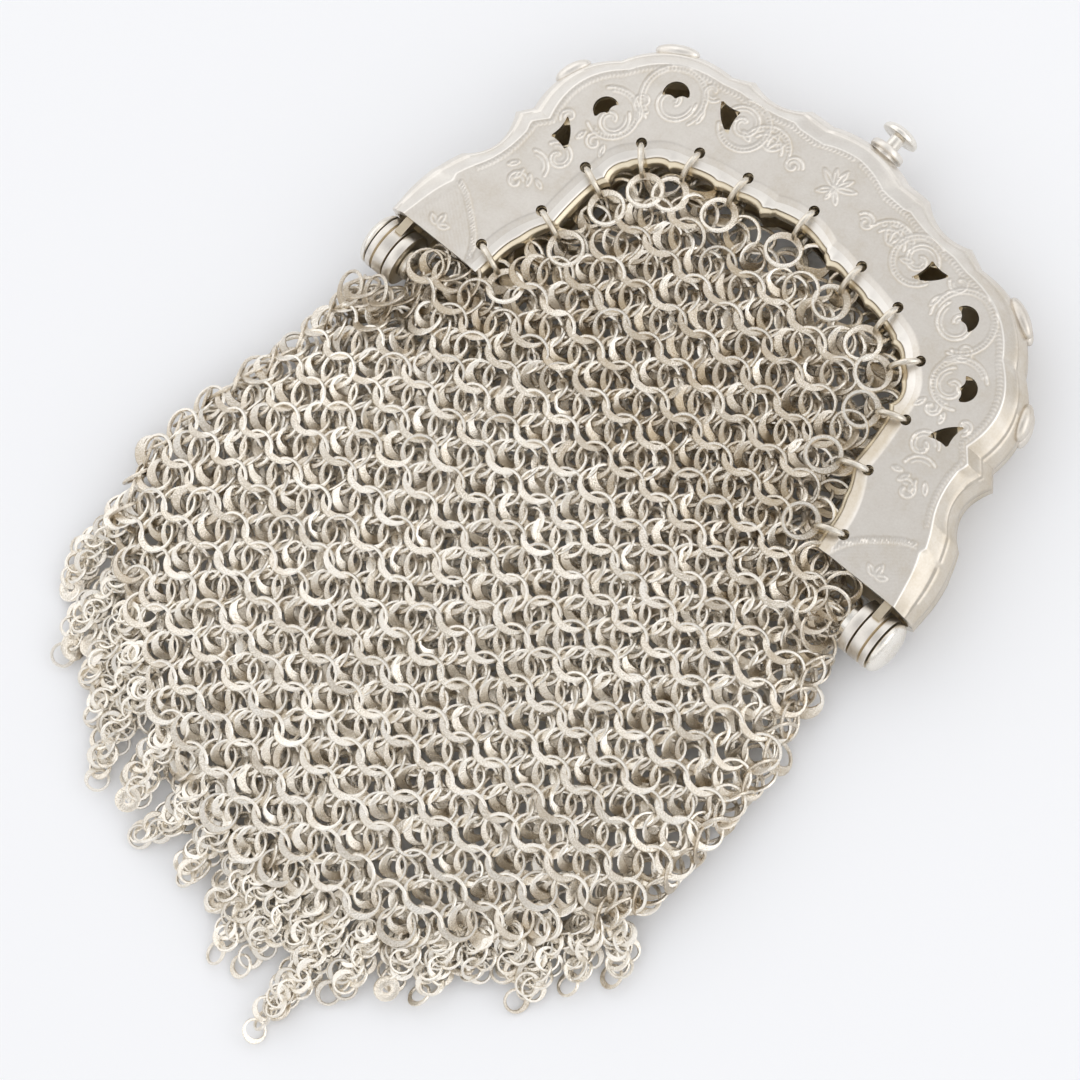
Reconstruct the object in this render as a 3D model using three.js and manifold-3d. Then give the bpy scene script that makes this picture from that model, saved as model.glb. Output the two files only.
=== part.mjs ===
// A ring mail purse on an arched silver frame, lying on its back. Sizes in mm, +Y to the button, +Z up.
import * as THREE from 'three';
import { mergeVertices } from 'three/addons/utils/BufferGeometryUtils.js';
import Module from 'manifold-3d';

const wasm = await Module();
wasm.setup();

// frame: two mirrored channels that meet at the seam
const FRAME_DEPTH = 9.4;
const RING_PROUD = 1.24;
const BACK_Z = RING_PROUD;
const FRONT_Z = BACK_Z + FRAME_DEPTH;
const SEAM_Z = (BACK_Z + FRONT_Z) / 2;
const SEAM_GAP = 0.3;
const SHEET = 0.8;
const RIM_BAND = 1.2;
const LIP_REACH = 1.6;
const LIP_DROP = 1.6;
const LIP_SHEET = 0.5;
const BEND_INSET = 0.2;
const ARRIS_INSET = 0.35;

// one half of the arch from the hinge end to the top middle: inner edge of the face, outer rim at the seam,
// how far each edge bows out on the way to the next row, and the width of the outer bevel
const ARCH_ROWS = [
  { innerX: 30.3, innerY: 0.0, innerBow: 0.0, rimX: 44.6, rimY: 0.0, rimBow: 0.0,
    bevel: 2.6, bevelBow: 0.0, steps: 1, ring: false },
  { innerX: 30.0, innerY: 3.2, innerBow: 0.7, rimX: 44.6, rimY: 3.4, rimBow: 0.4,
    bevel: 3.2, bevelBow: 0.0, steps: 3, ring: true },
  { innerX: 26.9, innerY: 11.6, innerBow: 0.2, rimX: 42.5, rimY: 11.5, rimBow: -2.0,
    bevel: 4.0, bevelBow: -1.3, steps: 3, ring: true },
  { innerX: 26.3, innerY: 19.6, innerBow: 0.0, rimX: 40.7, rimY: 20.3, rimBow: 0.0,
    bevel: 3.7, bevelBow: 0.0, steps: 1, ring: true },
  { innerX: 26.1, innerY: 21.0, innerBow: 0.75, rimX: 39.2, rimY: 22.2, rimBow: 2.0,
    bevel: 3.8, bevelBow: 0.0, steps: 4, ring: false },
  { innerX: 22.9, innerY: 26.2, innerBow: 0.5, rimX: 34.4, rimY: 34.4, rimBow: 2.3,
    bevel: 2.6, bevelBow: 0.4, steps: 4, ring: true },
  { innerX: 18.5, innerY: 29.0, innerBow: 0.0, rimX: 21.2, rimY: 41.7, rimBow: 0.0,
    bevel: 2.2, bevelBow: 0.0, steps: 1, ring: false },
  { innerX: 16.7, innerY: 29.5, innerBow: 0.3, rimX: 18.4, rimY: 43.0, rimBow: -1.3,
    bevel: 2.9, bevelBow: -1.0, steps: 3, ring: true },
  { innerX: 9.6, innerY: 30.8, innerBow: 0.3, rimX: 10.0, rimY: 44.6, rimBow: 0.0,
    bevel: 3.3, bevelBow: 0.0, steps: 3, ring: true },
  { innerX: 4.8, innerY: 31.6, innerBow: 0.3, rimX: 6.4, rimY: 44.7, rimBow: 0.3,
    bevel: 3.4, bevelBow: 0.0, steps: 3, ring: false },
  { innerX: 0.0, innerY: 32.7, innerBow: 0.0, rimX: 0.0, rimY: 45.9, rimBow: 0.0,
    bevel: 3.0, bevelBow: 0.0, steps: 1, ring: true },
];

// oval bosses on the outer wall, placed on the right half and mirrored
const BOSS_ROWS = [
  { x: 38.4, y: 29.3, turn: 112, long: 2.6, wide: 1.1, high: 1.3 },
  { x: 29.2, y: 39.8, turn: 151, long: 3.0, wide: 1.1, high: 1.3 },
];
const BOSS_LIFT = 1.3;
const BOSS_SIDES = 8;
const BOSS_BANDS = 5;

// shapes pierced through the front face: crescents with two bites and fins with one full side
const PIERCED_ROWS = [
  { kind: 'fin', x: 32.3, y: 21.4, turn: -42, size: 2.2 },
  { kind: 'crescent', x: 30.4, y: 27.4, turn: 22, size: 1.75 },
  { kind: 'crescent', x: 24.5, y: 34.6, turn: 60, size: 1.8 },
  { kind: 'fin', x: 17.4, y: 36.4, turn: 126, size: 2.3 },
];
const CRESCENT_START = -102;
const CRESCENT_END = 102;
const CRESCENT_STEPS = 8;
const CRESCENT_WAIST = -0.35;
const CRESCENT_BITE = 0.2;
const FIN_TIPS = [
  { angle: 0, reach: 0.75, bow: -0.12 },
  { angle: 98, reach: 1.0, bow: 0.2 },
  { angle: 270, reach: 0.88, bow: -0.1 },
];
const PIERCED_STEPS = 3;

// jump rings that carry the mail
const RING_RADIUS = 2.2;
const RING_WIRE = 0.34;
const RING_SIDES = 10;
const RING_WIRE_SIDES = 5;
const RING_DROP = 1.3;
const RING_PULL = 0.35;
const HOLE_SETBACK = 0.95;
const HOLE_RADIUS = 0.74;
const HOLE_SIDES = 8;
const RING_AXIS_FROM_HOLE = 1.98;

// hinges: two knuckles and a pin at each end
const BARREL_RADIUS = 3.8;
const BARREL_Y = -3.9;
const BARREL_SIDES = 12;
const PIN_RADIUS = 1.5;
const PIN_CLEARANCE = 0.2;
const BACK_KNUCKLE = { start: 38.6, end: 40.0 };
const FRONT_KNUCKLE = { start: 40.2, end: 43.0 };
const BRACKET = { start: 40.3, end: 41.5, reach: 1.6, depth: 2.4, sink: 0.4 };
const BACK_BRACKET = { start: 38.7, end: 39.9, reach: 1.6, depth: 2.4, sink: 0.4 };
const PIN_DOME = { start: 43.2, shoulder: 44.05, crown: 44.7, end: 44.9, radius: 3.7, mid: 3.4, inner: 2.3 };
const PIN_HEAD = { start: 37.4, end: 38.4, radius: 2.3 };

// push button in a bushing that is soldered into the back half
const BUTTON_X = 0.8;
const BUSHING = { radius: 1.7, bore: 1.15, start: 40.6, end: 46.6, clearance: 0.3 };
const COLLAR = { radius: 2.5, start: 46.25, end: 47.2 };
const BUTTON_HEAD = { radius: 1.5, start: 39.7, end: 40.3 };
const BUTTON_CAP = { radius: 2.65, start: 49.0, edge: 49.4, crownRadius: 1.9, crown: 50.25, end: 50.5 };
const BUTTON_STEM = 0.95;
const BUTTON_SIDES = 12;
const TONGUE = { width: 2.4, start: 35.8, end: 36.6, bottom: 4.6 };

// mail pouch: plan outline below the hinges and heights of the upper and lower sheet
const WALL = 1.8;
const MOUTH_FROM_HOLE = 3.05;
const MOUTH_OVERCUT = 1.2;
const MOUTH_CORNER = { x: 28.0, y: -0.9 };
const POUCH_ROWS = [
  { y: -2.6, left: -36.8, right: 36.8, open: true },
  { y: -8.2, left: -36.9, right: 36.9, open: false },
  { y: -10.4, left: -42.4, right: 38.8, open: false },
  { y: -17.5, left: -43.6, right: 40.2, open: false },
  { y: -24.0, left: -45.0, right: 42.0, open: false },
  { y: -31.0, left: -47.0, right: 42.6, open: false },
  { y: -38.0, left: -48.9, right: 42.7, open: false },
  { y: -45.0, left: -49.2, right: 42.2, open: false },
  { y: -52.0, left: -47.4, right: 39.4, open: false },
  { y: -60.0, left: -39.0, right: 33.0, open: false },
  { y: -67.0, left: -30.6, right: 26.6, open: false },
  { y: -72.0, left: -21.4, right: 19.2, open: false },
  { y: -75.4, left: -10.0, right: 11.4, open: false },
];
const POUCH_END = { x: 1.4, y: -76.6 };
const POUCH_MIDDLE = { x: -2.0, y: -26 };
const SHEET_ROWS = [
  { y: 40, top: FRONT_Z - RING_DROP + WALL / 2, bottom: BACK_Z + RING_DROP - WALL / 2 },
  { y: 0, top: FRONT_Z - RING_DROP + WALL / 2, bottom: BACK_Z + RING_DROP - WALL / 2 },
  { y: -10, top: 10.2, bottom: 0.4 },
  { y: -18, top: 10.1, bottom: 0 },
  { y: -50, top: 9.8, bottom: 0 },
  { y: -67, top: 8.2, bottom: 0 },
  { y: -80, top: 6.6, bottom: 0 },
];
const SIDE_TOP = 5.2;
const SIDE_BOTTOM = 2.2;
const CAVITY_SIDE_TOP = 4.2;
const CAVITY_SIDE_BOTTOM = 3.0;
const POUCH_LEVELS = [1, 0.95, 0.86, 0.66, 0.36];
const TOP_FLAT = 0.6;
const BOTTOM_FLAT = 0.84;
const MAIL_HOLE_RADIUS = 0.78;

// fringe: chains as strips that hang from a hem along the rounded lower edge
const HEM = { firstRow: 8, gap: 0.3, width: 2.0, height: 2.4 };
const LOCK = { rootWidth: 3.2, tipWidth: 2.7, rootHeight: 2.2, tipHeight: 1.8, rootInset: 1.8 };
const LOCK_ROWS = [
  { rootX: -45.6, bendX: -46.4, bendY: -59.5, tipX: -44.4, tipY: -66.1 },
  { rootX: -41.0, bendX: -40.8, bendY: -66.0, tipX: -39.7, tipY: -72.5 },
  { rootX: -36.2, bendX: -35.6, bendY: -68.5, tipX: -34.9, tipY: -74.0 },
  { rootX: -32.0, bendX: -31.6, bendY: -72.0, tipX: -31.0, tipY: -76.2 },
  { rootX: -27.6, bendX: -27.6, bendY: -75.5, tipX: -24.6, tipY: -82.3 },
  { rootX: -21.6, bendX: -20.9, bendY: -77.0, tipX: -19.7, tipY: -81.1 },
  { rootX: -13.6, bendX: -13.5, bendY: -78.8, tipX: -15.8, tipY: -83.8 },
  { rootX: -8.0, bendX: -7.7, bendY: -80.5, tipX: -7.5, tipY: -84.8 },
  { rootX: -2.6, bendX: -2.0, bendY: -80.2, tipX: -2.6, tipY: -84.9 },
  { rootX: 1.4, bendX: 1.6, bendY: -82.0, tipX: 2.2, tipY: -88.6 },
  { rootX: 5.2, bendX: 5.6, bendY: -81.0, tipX: 6.0, tipY: -87.8 },
  { rootX: 9.0, bendX: 9.2, bendY: -78.6, tipX: 9.4, tipY: -80.8 },
  { rootX: 12.4, bendX: 12.8, bendY: -83.5, tipX: 13.0, tipY: -94.2 },
  { rootX: 16.4, bendX: 17.2, bendY: -79.2, tipX: 16.8, tipY: -83.4 },
  { rootX: 21.0, bendX: 21.5, bendY: -73.8, tipX: 22.4, tipY: -76.8 },
  { rootX: 25.0, bendX: 25.7, bendY: -71.2, tipX: 26.0, tipY: -75.6 },
  { rootX: 28.2, bendX: 28.9, bendY: -67.6, tipX: 29.2, tipY: -69.6 },
  { rootX: 31.4, bendX: 32.2, bendY: -64.4, tipX: 32.4, tipY: -66.4 },
  { rootX: 34.2, bendX: 35.5, bendY: -62.6, tipX: 36.2, tipY: -68.4 },
  { rootX: 37.2, bendX: 38.6, bendY: -58.1, tipX: 40.2, tipY: -63.4 },
  { rootX: 39.0, bendX: 41.8, bendY: -54.1, tipX: 44.0, tipY: -58.9 },
];

const EPS = 1e-4;
const REACH = 90;
const silver = new THREE.MeshStandardMaterial({ color: 0xcfcbc4, roughness: 0.32, metalness: 1 });
const brightSilver = new THREE.MeshStandardMaterial({ color: 0xd8d5cf, roughness: 0.22, metalness: 1 });
const mailSilver = new THREE.MeshStandardMaterial({ color: 0xbdb4a6, roughness: 0.38, metalness: 1 });

// a closed solid from a geometry, turned to face out
function solidOf(geometry) {
  const bare = geometry.index ? geometry.clone() : geometry;
  bare.deleteAttribute('normal');
  bare.deleteAttribute('uv');
  const merged = mergeVertices(bare, EPS);
  const points = merged.attributes.position.array;
  const corners = Array.from(merged.index.array);
  const faces = [];
  let volume = 0;
  const a = new THREE.Vector3();
  const b = new THREE.Vector3();
  const c = new THREE.Vector3();
  for (let i = 0; i < corners.length; i += 3) {
    const [p, q, r] = corners.slice(i, i + 3);
    if (p === q || q === r || r === p) continue;
    a.fromArray(points, 3 * p);
    b.fromArray(points, 3 * q);
    c.fromArray(points, 3 * r);
    volume += a.dot(b.cross(c));
    faces.push(p, q, r);
  }
  if (volume < 0) faces.reverse();
  const mesh = new wasm.Mesh({
    numProp: 3,
    vertProperties: new Float32Array(points),
    triVerts: new Uint32Array(faces),
  });
  return new wasm.Manifold(mesh);
}

function meshOf(solid, name, material) {
  const data = solid.getMesh();
  const geometry = new THREE.BufferGeometry();
  geometry.setAttribute('position', new THREE.BufferAttribute(data.vertProperties, 3));
  geometry.setIndex(new THREE.BufferAttribute(data.triVerts, 1));
  const mesh = new THREE.Mesh(geometry, material);
  mesh.name = name;
  return mesh;
}

// a skin over closed cross sections with the same number of points, capped at both ends
function skinOf(sections) {
  const count = sections[0].length;
  const points = sections.flat();
  const faces = [];
  for (let s = 0; s + 1 < sections.length; s += 1) {
    for (let i = 0; i < count; i += 1) {
      const j = (i + 1) % count;
      const near = s * count;
      const far = near + count;
      faces.push(near + i, near + j, far + j, near + i, far + j, far + i);
    }
  }
  const capOf = (section) => {
    const along = section[1].clone().sub(section[0]).normalize();
    const normal = new THREE.Vector3();
    for (let i = 0; i < count; i += 1) normal.add(section[i].clone().cross(section[(i + 1) % count]));
    const across = normal.normalize().clone().cross(along);
    return section.map((p) => new THREE.Vector2(p.dot(along), p.dot(across)));
  };
  const last = (sections.length - 1) * count;
  for (const [i, j, k] of THREE.ShapeUtils.triangulateShape(capOf(sections[0]), [])) faces.push(i, k, j);
  for (const [i, j, k] of THREE.ShapeUtils.triangulateShape(capOf(sections.at(-1)), [])) {
    faces.push(last + i, last + j, last + k);
  }
  const geometry = new THREE.BufferGeometry();
  geometry.setAttribute('position', new THREE.Float32BufferAttribute(points.flatMap((p) => p.toArray()), 3));
  geometry.setIndex(faces);
  return geometry;
}

// points on the way from one point to the next along a shallow bow
function bowPoints(from, to, bow, steps) {
  const along = to.clone().sub(from);
  const side = new THREE.Vector2(along.y, -along.x).normalize();
  const list = [];
  for (let i = 0; i < steps; i += 1) {
    const t = i / steps;
    const point = from.clone().addScaledVector(along, t);
    list.push(point.addScaledVector(side, 4 * bow * t * (1 - t)));
  }
  return list;
}

function archLine(xKey, yKey, bowKey) {
  const corners = ARCH_ROWS.map((row) => new THREE.Vector2(row[xKey], row[yKey]));
  const line = [];
  for (let i = 0; i + 1 < corners.length; i += 1) {
    line.push(...bowPoints(corners[i], corners[i + 1], ARCH_ROWS[i][bowKey], ARCH_ROWS[i].steps));
  }
  line.push(corners.at(-1));
  const mirrored = line.slice(0, -1).reverse().map((p) => new THREE.Vector2(-p.x, p.y));
  return [...line, ...mirrored];
}

function bevelLine() {
  const line = [];
  for (let i = 0; i + 1 < ARCH_ROWS.length; i += 1) {
    const { bevel, bevelBow, steps } = ARCH_ROWS[i];
    for (let k = 0; k < steps; k += 1) {
      const t = k / steps;
      line.push(THREE.MathUtils.lerp(bevel, ARCH_ROWS[i + 1].bevel, t) + 4 * bevelBow * t * (1 - t));
    }
  }
  line.push(ARCH_ROWS.at(-1).bevel);
  return [...line, ...line.slice(0, -1).reverse()];
}

// the channel section at one station of the arch, from the rim to the lip and back inside
function channelSection(rim, inner, bevel) {
  const along = inner.clone().sub(rim);
  const width = along.length();
  along.normalize();
  const seam = SEAM_Z + SEAM_GAP / 2;
  const profile = [
    [0, seam],
    [0, seam + RIM_BAND],
    [bevel, FRONT_Z],
    [width, FRONT_Z],
    [width + LIP_REACH, FRONT_Z - LIP_DROP],
    [width + LIP_REACH - LIP_SHEET, FRONT_Z - LIP_DROP - LIP_SHEET],
    [width - BEND_INSET, FRONT_Z - SHEET],
    [bevel + ARRIS_INSET, FRONT_Z - SHEET],
    [SHEET, seam + RIM_BAND - ARRIS_INSET],
    [SHEET, seam],
  ];
  return profile.map(([d, z]) => new THREE.Vector3(rim.x + along.x * d, rim.y + along.y * d, z));
}

function channel() {
  const rims = archLine('rimX', 'rimY', 'rimBow');
  const inners = archLine('innerX', 'innerY', 'innerBow');
  const bevels = bevelLine();
  return solidOf(skinOf(rims.map((rim, i) => channelSection(rim, inners[i], bevels[i]))));
}

// straight prism over a plan outline
function prism(outline, bottom, top) {
  const options = { depth: top - bottom, bevelEnabled: false };
  const geometry = new THREE.ExtrudeGeometry(new THREE.Shape(outline), options);
  geometry.translate(0, 0, bottom);
  return solidOf(geometry);
}

function block(x0, x1, y0, y1, z0, z1) {
  const geometry = new THREE.BoxGeometry(x1 - x0, y1 - y0, z1 - z0);
  geometry.translate((x0 + x1) / 2, (y0 + y1) / 2, (z0 + z1) / 2);
  return solidOf(geometry);
}

function turned(profile, sides) {
  return new THREE.LatheGeometry(profile.map(([r, h]) => new THREE.Vector2(r, h)), sides);
}

function rodAlongY(profile, sides, x, z) {
  const geometry = turned(profile, sides);
  geometry.translate(x, 0, z);
  return solidOf(geometry);
}

function rodAlongX(profile, sides) {
  const geometry = turned(profile, sides);
  geometry.rotateZ(-Math.PI / 2);
  geometry.translate(0, BARREL_Y, SEAM_Z);
  return solidOf(geometry);
}

function uprightRod(x, y, radius, bottom, top) {
  const geometry = new THREE.CylinderGeometry(radius, radius, top - bottom, HOLE_SIDES);
  geometry.rotateX(Math.PI / 2);
  geometry.translate(x, y, (bottom + top) / 2);
  return solidOf(geometry);
}

const mirrorX = (solid) => solid.mirror([1, 0, 0]);
const turnOver = (solid) => solid.translate([0, 0, -SEAM_Z]).mirror([0, 0, 1]).translate([0, 0, SEAM_Z]);
const bothSides = (solid) => [solid, mirrorX(solid)];

function placeOutline(points, row) {
  const turn = THREE.MathUtils.degToRad(row.turn);
  return points.map((p) => p.rotateAround(new THREE.Vector2(), turn).add(new THREE.Vector2(row.x, row.y)));
}

function spoke(degrees, length) {
  const angle = THREE.MathUtils.degToRad(degrees);
  return new THREE.Vector2(Math.cos(angle), Math.sin(angle)).multiplyScalar(length);
}

function crescentOutline(row) {
  const list = [];
  for (let i = 0; i < CRESCENT_STEPS; i += 1) {
    list.push(spoke(THREE.MathUtils.lerp(CRESCENT_START, CRESCENT_END, i / CRESCENT_STEPS), row.size));
  }
  const tip = spoke(CRESCENT_END, row.size);
  const waist = new THREE.Vector2(CRESCENT_WAIST * row.size, 0);
  const bite = -CRESCENT_BITE * row.size;
  list.push(...bowPoints(tip, waist, bite, PIERCED_STEPS));
  list.push(...bowPoints(waist, list[0], bite, PIERCED_STEPS));
  return placeOutline(list, row);
}

function finOutline(row) {
  const tips = FIN_TIPS.map(({ angle, reach }) => spoke(angle, reach * row.size));
  const sides = tips.map((tip, i) => {
    const next = tips[(i + 1) % tips.length];
    return bowPoints(tip, next, FIN_TIPS[i].bow * row.size, PIERCED_STEPS);
  });
  return placeOutline(sides.flat(), row);
}

// where each jump ring goes through the face and which way it hangs
function ringPlaces() {
  const rows = ARCH_ROWS.filter((row) => row.ring);
  const right = rows.map((row) => {
    const inner = new THREE.Vector2(row.innerX, row.innerY);
    const outward = new THREE.Vector2(row.rimX, row.rimY).sub(inner).normalize();
    const hole = inner.clone().addScaledVector(outward, HOLE_SETBACK);
    const hang = outward.clone().negate().add(new THREE.Vector2(0, -RING_PULL)).normalize();
    return { hole, hang };
  });
  const left = right.slice(0, -1).reverse().map(({ hole, hang }) => ({
    hole: new THREE.Vector2(-hole.x, hole.y),
    hang: new THREE.Vector2(-hang.x, hang.y),
  }));
  return [...right, ...left];
}

function jumpRing({ hole, hang }) {
  const geometry = new THREE.TorusGeometry(RING_RADIUS, RING_WIRE, RING_WIRE_SIDES, RING_SIDES);
  geometry.rotateX(Math.PI / 2);
  geometry.rotateZ(Math.atan2(hang.y, hang.x));
  const middle = hole.clone().addScaledVector(hang, RING_AXIS_FROM_HOLE);
  geometry.translate(middle.x, middle.y, FRONT_Z - RING_DROP);
  return solidOf(geometry);
}

function boss(row) {
  const geometry = new THREE.SphereGeometry(1, BOSS_SIDES, BOSS_BANDS);
  geometry.scale(row.long, row.wide, row.high);
  geometry.rotateZ(THREE.MathUtils.degToRad(row.turn));
  geometry.translate(row.x, row.y, SEAM_Z + SEAM_GAP / 2 + BOSS_LIFT);
  return solidOf(geometry);
}

function knuckle({ start, end }) {
  const bore = PIN_RADIUS + PIN_CLEARANCE;
  const profile = [[bore, start], [BARREL_RADIUS, start], [BARREL_RADIUS, end], [bore, end], [bore, start]];
  return rodAlongX(profile, BARREL_SIDES);
}

// a strap from the face down to the barrel, kept off the bore
function knuckleBracket({ start, end, reach, depth, sink }) {
  return block(start, end, BARREL_Y + PIN_RADIUS, reach, FRONT_Z - depth, FRONT_Z - sink);
}

const places = ringPlaces();

function frameHalf() {
  let half = channel();
  const above = block(-REACH, REACH, -REACH, REACH, SEAM_Z + SEAM_GAP / 2, FRONT_Z + RING_PROUD);
  for (const row of BOSS_ROWS) {
    for (const one of bothSides(boss(row).intersect(above))) half = half.add(one);
  }
  for (const { hole } of places) {
    half = half.subtract(uprightRod(hole.x, hole.y, HOLE_RADIUS, FRONT_Z - 2 * SHEET, FRONT_Z + SHEET));
  }
  return half;
}

const plainHalf = frameHalf();

function frontHalf() {
  let half = plainHalf;
  for (const row of PIERCED_ROWS) {
    const outline = row.kind === 'crescent' ? crescentOutline(row) : finOutline(row);
    const cut = prism(outline, FRONT_Z - 2 * SHEET, FRONT_Z + SHEET);
    for (const one of bothSides(cut)) half = half.subtract(one);
  }
  const hinge = knuckle(FRONT_KNUCKLE).add(knuckleBracket(BRACKET));
  for (const one of bothSides(hinge)) half = half.add(one);
  const gap = BUSHING.radius + BUSHING.clearance;
  const notch = [[0, BUSHING.start], [gap, BUSHING.start], [gap, BUSHING.end], [0, BUSHING.end]];
  half = half.subtract(rodAlongY(notch, BUTTON_SIDES, BUTTON_X, SEAM_Z));
  const { width, start, end, bottom } = TONGUE;
  const tongue = block(BUTTON_X - width / 2, BUTTON_X + width / 2, start, end, bottom, FRONT_Z - SHEET / 2);
  return half.add(tongue);
}

function backHalf() {
  const knuckles = knuckle(BACK_KNUCKLE).add(knuckleBracket(BACK_BRACKET));
  let half = plainHalf;
  for (const one of bothSides(knuckles)) half = half.add(one);
  half = turnOver(half);
  const tube = [
    [0, BUSHING.start],
    [BUSHING.radius, BUSHING.start],
    [BUSHING.radius, COLLAR.start],
    [COLLAR.radius, COLLAR.start],
    [COLLAR.radius, COLLAR.end],
    [0, COLLAR.end],
  ];
  const bore = [[0, BUSHING.start - 1], [BUSHING.bore, BUSHING.start - 1], [BUSHING.bore, COLLAR.end + 1],
    [0, COLLAR.end + 1]];
  half = half.add(rodAlongY(tube, BUTTON_SIDES, BUTTON_X, SEAM_Z));
  return half.subtract(rodAlongY(bore, BUTTON_SIDES, BUTTON_X, SEAM_Z));
}

function hingePin() {
  const profile = [
    [0, PIN_HEAD.start],
    [PIN_HEAD.radius, PIN_HEAD.start],
    [PIN_HEAD.radius, PIN_HEAD.end],
    [PIN_RADIUS, PIN_HEAD.end],
    [PIN_RADIUS, PIN_DOME.start],
    [PIN_DOME.radius, PIN_DOME.start],
    [PIN_DOME.mid, PIN_DOME.shoulder],
    [PIN_DOME.inner, PIN_DOME.crown],
    [0, PIN_DOME.end],
  ];
  return rodAlongX(profile, BARREL_SIDES);
}

function pushButton() {
  const profile = [
    [0, BUTTON_HEAD.start],
    [BUTTON_HEAD.radius, BUTTON_HEAD.start],
    [BUTTON_HEAD.radius, BUTTON_HEAD.end],
    [BUTTON_STEM, BUTTON_HEAD.end],
    [BUTTON_STEM, BUTTON_CAP.start],
    [BUTTON_CAP.radius, BUTTON_CAP.start],
    [BUTTON_CAP.radius, BUTTON_CAP.edge],
    [BUTTON_CAP.crownRadius, BUTTON_CAP.crown],
    [0, BUTTON_CAP.end],
  ];
  return rodAlongY(profile, BUTTON_SIDES, BUTTON_X, SEAM_Z);
}

// the pouch outline from above, anticlockwise from the right hinge, with what is open at the mouth
function pouchOutline() {
  const mouth = places.map(({ hole, hang }) => hole.clone().addScaledVector(hang, MOUTH_FROM_HOLE));
  const list = [{ x: MOUTH_CORNER.x, y: MOUTH_CORNER.y, open: true }];
  for (const p of mouth) list.push({ x: p.x, y: p.y, open: true });
  list.push({ x: -MOUTH_CORNER.x, y: MOUTH_CORNER.y, open: true });
  for (const row of POUCH_ROWS) list.push({ x: row.left, y: row.y, open: row.open });
  list.push({ ...POUCH_END, open: false });
  for (const row of [...POUCH_ROWS].reverse()) list.push({ x: row.right, y: row.y, open: row.open });
  return list;
}

function shifted(outline, inset, overcut) {
  const count = outline.length;
  return outline.map((p, i) => {
    const before = outline[(i + count - 1) % count];
    const after = outline[(i + 1) % count];
    const out = new THREE.Vector2(after.y - before.y, before.x - after.x).normalize();
    const step = p.open ? overcut : -inset;
    return { x: p.x + out.x * step, y: p.y + out.y * step, open: p.open };
  });
}

function sheetHeight(y, key) {
  const after = SHEET_ROWS.findIndex((row) => row.y <= y);
  const low = SHEET_ROWS[after];
  const high = SHEET_ROWS[after - 1];
  return THREE.MathUtils.mapLinear(y, high.y, low.y, high[key], low[key]);
}

const roundOff = (level, flat) => (level <= flat ? 1 : 1 - ((level - flat) / (1 - flat)) ** 2);

// a cushion over the outline: two sheets that meet in a side band
function cushion(outline, sink, sideTop, sideBottom) {
  const count = outline.length;
  const points = [];
  const faces = [];
  const sheetPoint = (p, level, isTop) => {
    const x = THREE.MathUtils.lerp(POUCH_MIDDLE.x, p.x, level);
    const y = THREE.MathUtils.lerp(POUCH_MIDDLE.y, p.y, level);
    const crown = isTop ? sheetHeight(y, 'top') - sink : sheetHeight(y, 'bottom') + sink;
    const side = isTop ? sideTop : sideBottom;
    const round = p.open ? 1 : roundOff(level, isTop ? TOP_FLAT : BOTTOM_FLAT);
    points.push(x, y, side + (crown - side) * round);
  };
  for (const isTop of [true, false]) {
    const start = points.length / 3;
    for (const level of POUCH_LEVELS) for (const p of outline) sheetPoint(p, level, isTop);
    sheetPoint({ ...outline[0], open: true }, 0, isTop);
    const middle = points.length / 3 - 1;
    for (let i = 0; i < count; i += 1) {
      const j = (i + 1) % count;
      const sheet = [];
      for (let k = 0; k + 1 < POUCH_LEVELS.length; k += 1) {
        const outer = start + k * count;
        const inner = outer + count;
        sheet.push(outer + i, outer + j, inner + j, outer + i, inner + j, inner + i);
      }
      const last = start + (POUCH_LEVELS.length - 1) * count;
      sheet.push(last + i, last + j, middle);
      faces.push(...(isTop ? sheet : sheet.reverse()));
    }
  }
  const under = POUCH_LEVELS.length * count + 1;
  for (let i = 0; i < count; i += 1) {
    const j = (i + 1) % count;
    faces.push(under + i, under + j, j, under + i, j, i);
  }
  const geometry = new THREE.BufferGeometry();
  geometry.setAttribute('position', new THREE.Float32BufferAttribute(points, 3));
  geometry.setIndex(faces);
  return solidOf(geometry);
}

function mailPouch() {
  const outline = pouchOutline();
  const inside = cushion(shifted(outline, WALL, MOUTH_OVERCUT), WALL, CAVITY_SIDE_TOP, CAVITY_SIDE_BOTTOM);
  let pouch = cushion(outline, 0, SIDE_TOP, SIDE_BOTTOM).subtract(inside);
  for (const { hole, hang } of places) {
    const at = hole.clone().addScaledVector(hang, RING_AXIS_FROM_HOLE + RING_RADIUS);
    pouch = pouch.subtract(uprightRod(at.x, at.y, MAIL_HOLE_RADIUS, -WALL, FRONT_Z + WALL));
  }
  return pouch;
}

// the hem path along the lower edge, from the left side round to the right
function hemPath() {
  const rows = POUCH_ROWS.slice(HEM.firstRow);
  const left = rows.map((row) => new THREE.Vector2(row.left, row.y));
  const right = rows.map((row) => new THREE.Vector2(row.right, row.y)).reverse();
  return [...left, new THREE.Vector2(POUCH_END.x, POUCH_END.y), ...right];
}

const boxSection = (near, far, bottom, top) => [
  new THREE.Vector3(near.x, near.y, bottom),
  new THREE.Vector3(far.x, far.y, bottom),
  new THREE.Vector3(far.x, far.y, top),
  new THREE.Vector3(near.x, near.y, top),
];

function hem(path) {
  const sections = path.map((p, i) => {
    const before = path[Math.max(i - 1, 0)];
    const after = path[Math.min(i + 1, path.length - 1)];
    const out = new THREE.Vector2(after.y - before.y, before.x - after.x).normalize();
    const near = p.clone().addScaledVector(out, HEM.gap);
    const far = p.clone().addScaledVector(out, HEM.gap + HEM.width);
    return boxSection(near, far, 0, HEM.height);
  });
  return solidOf(skinOf(sections));
}

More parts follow.
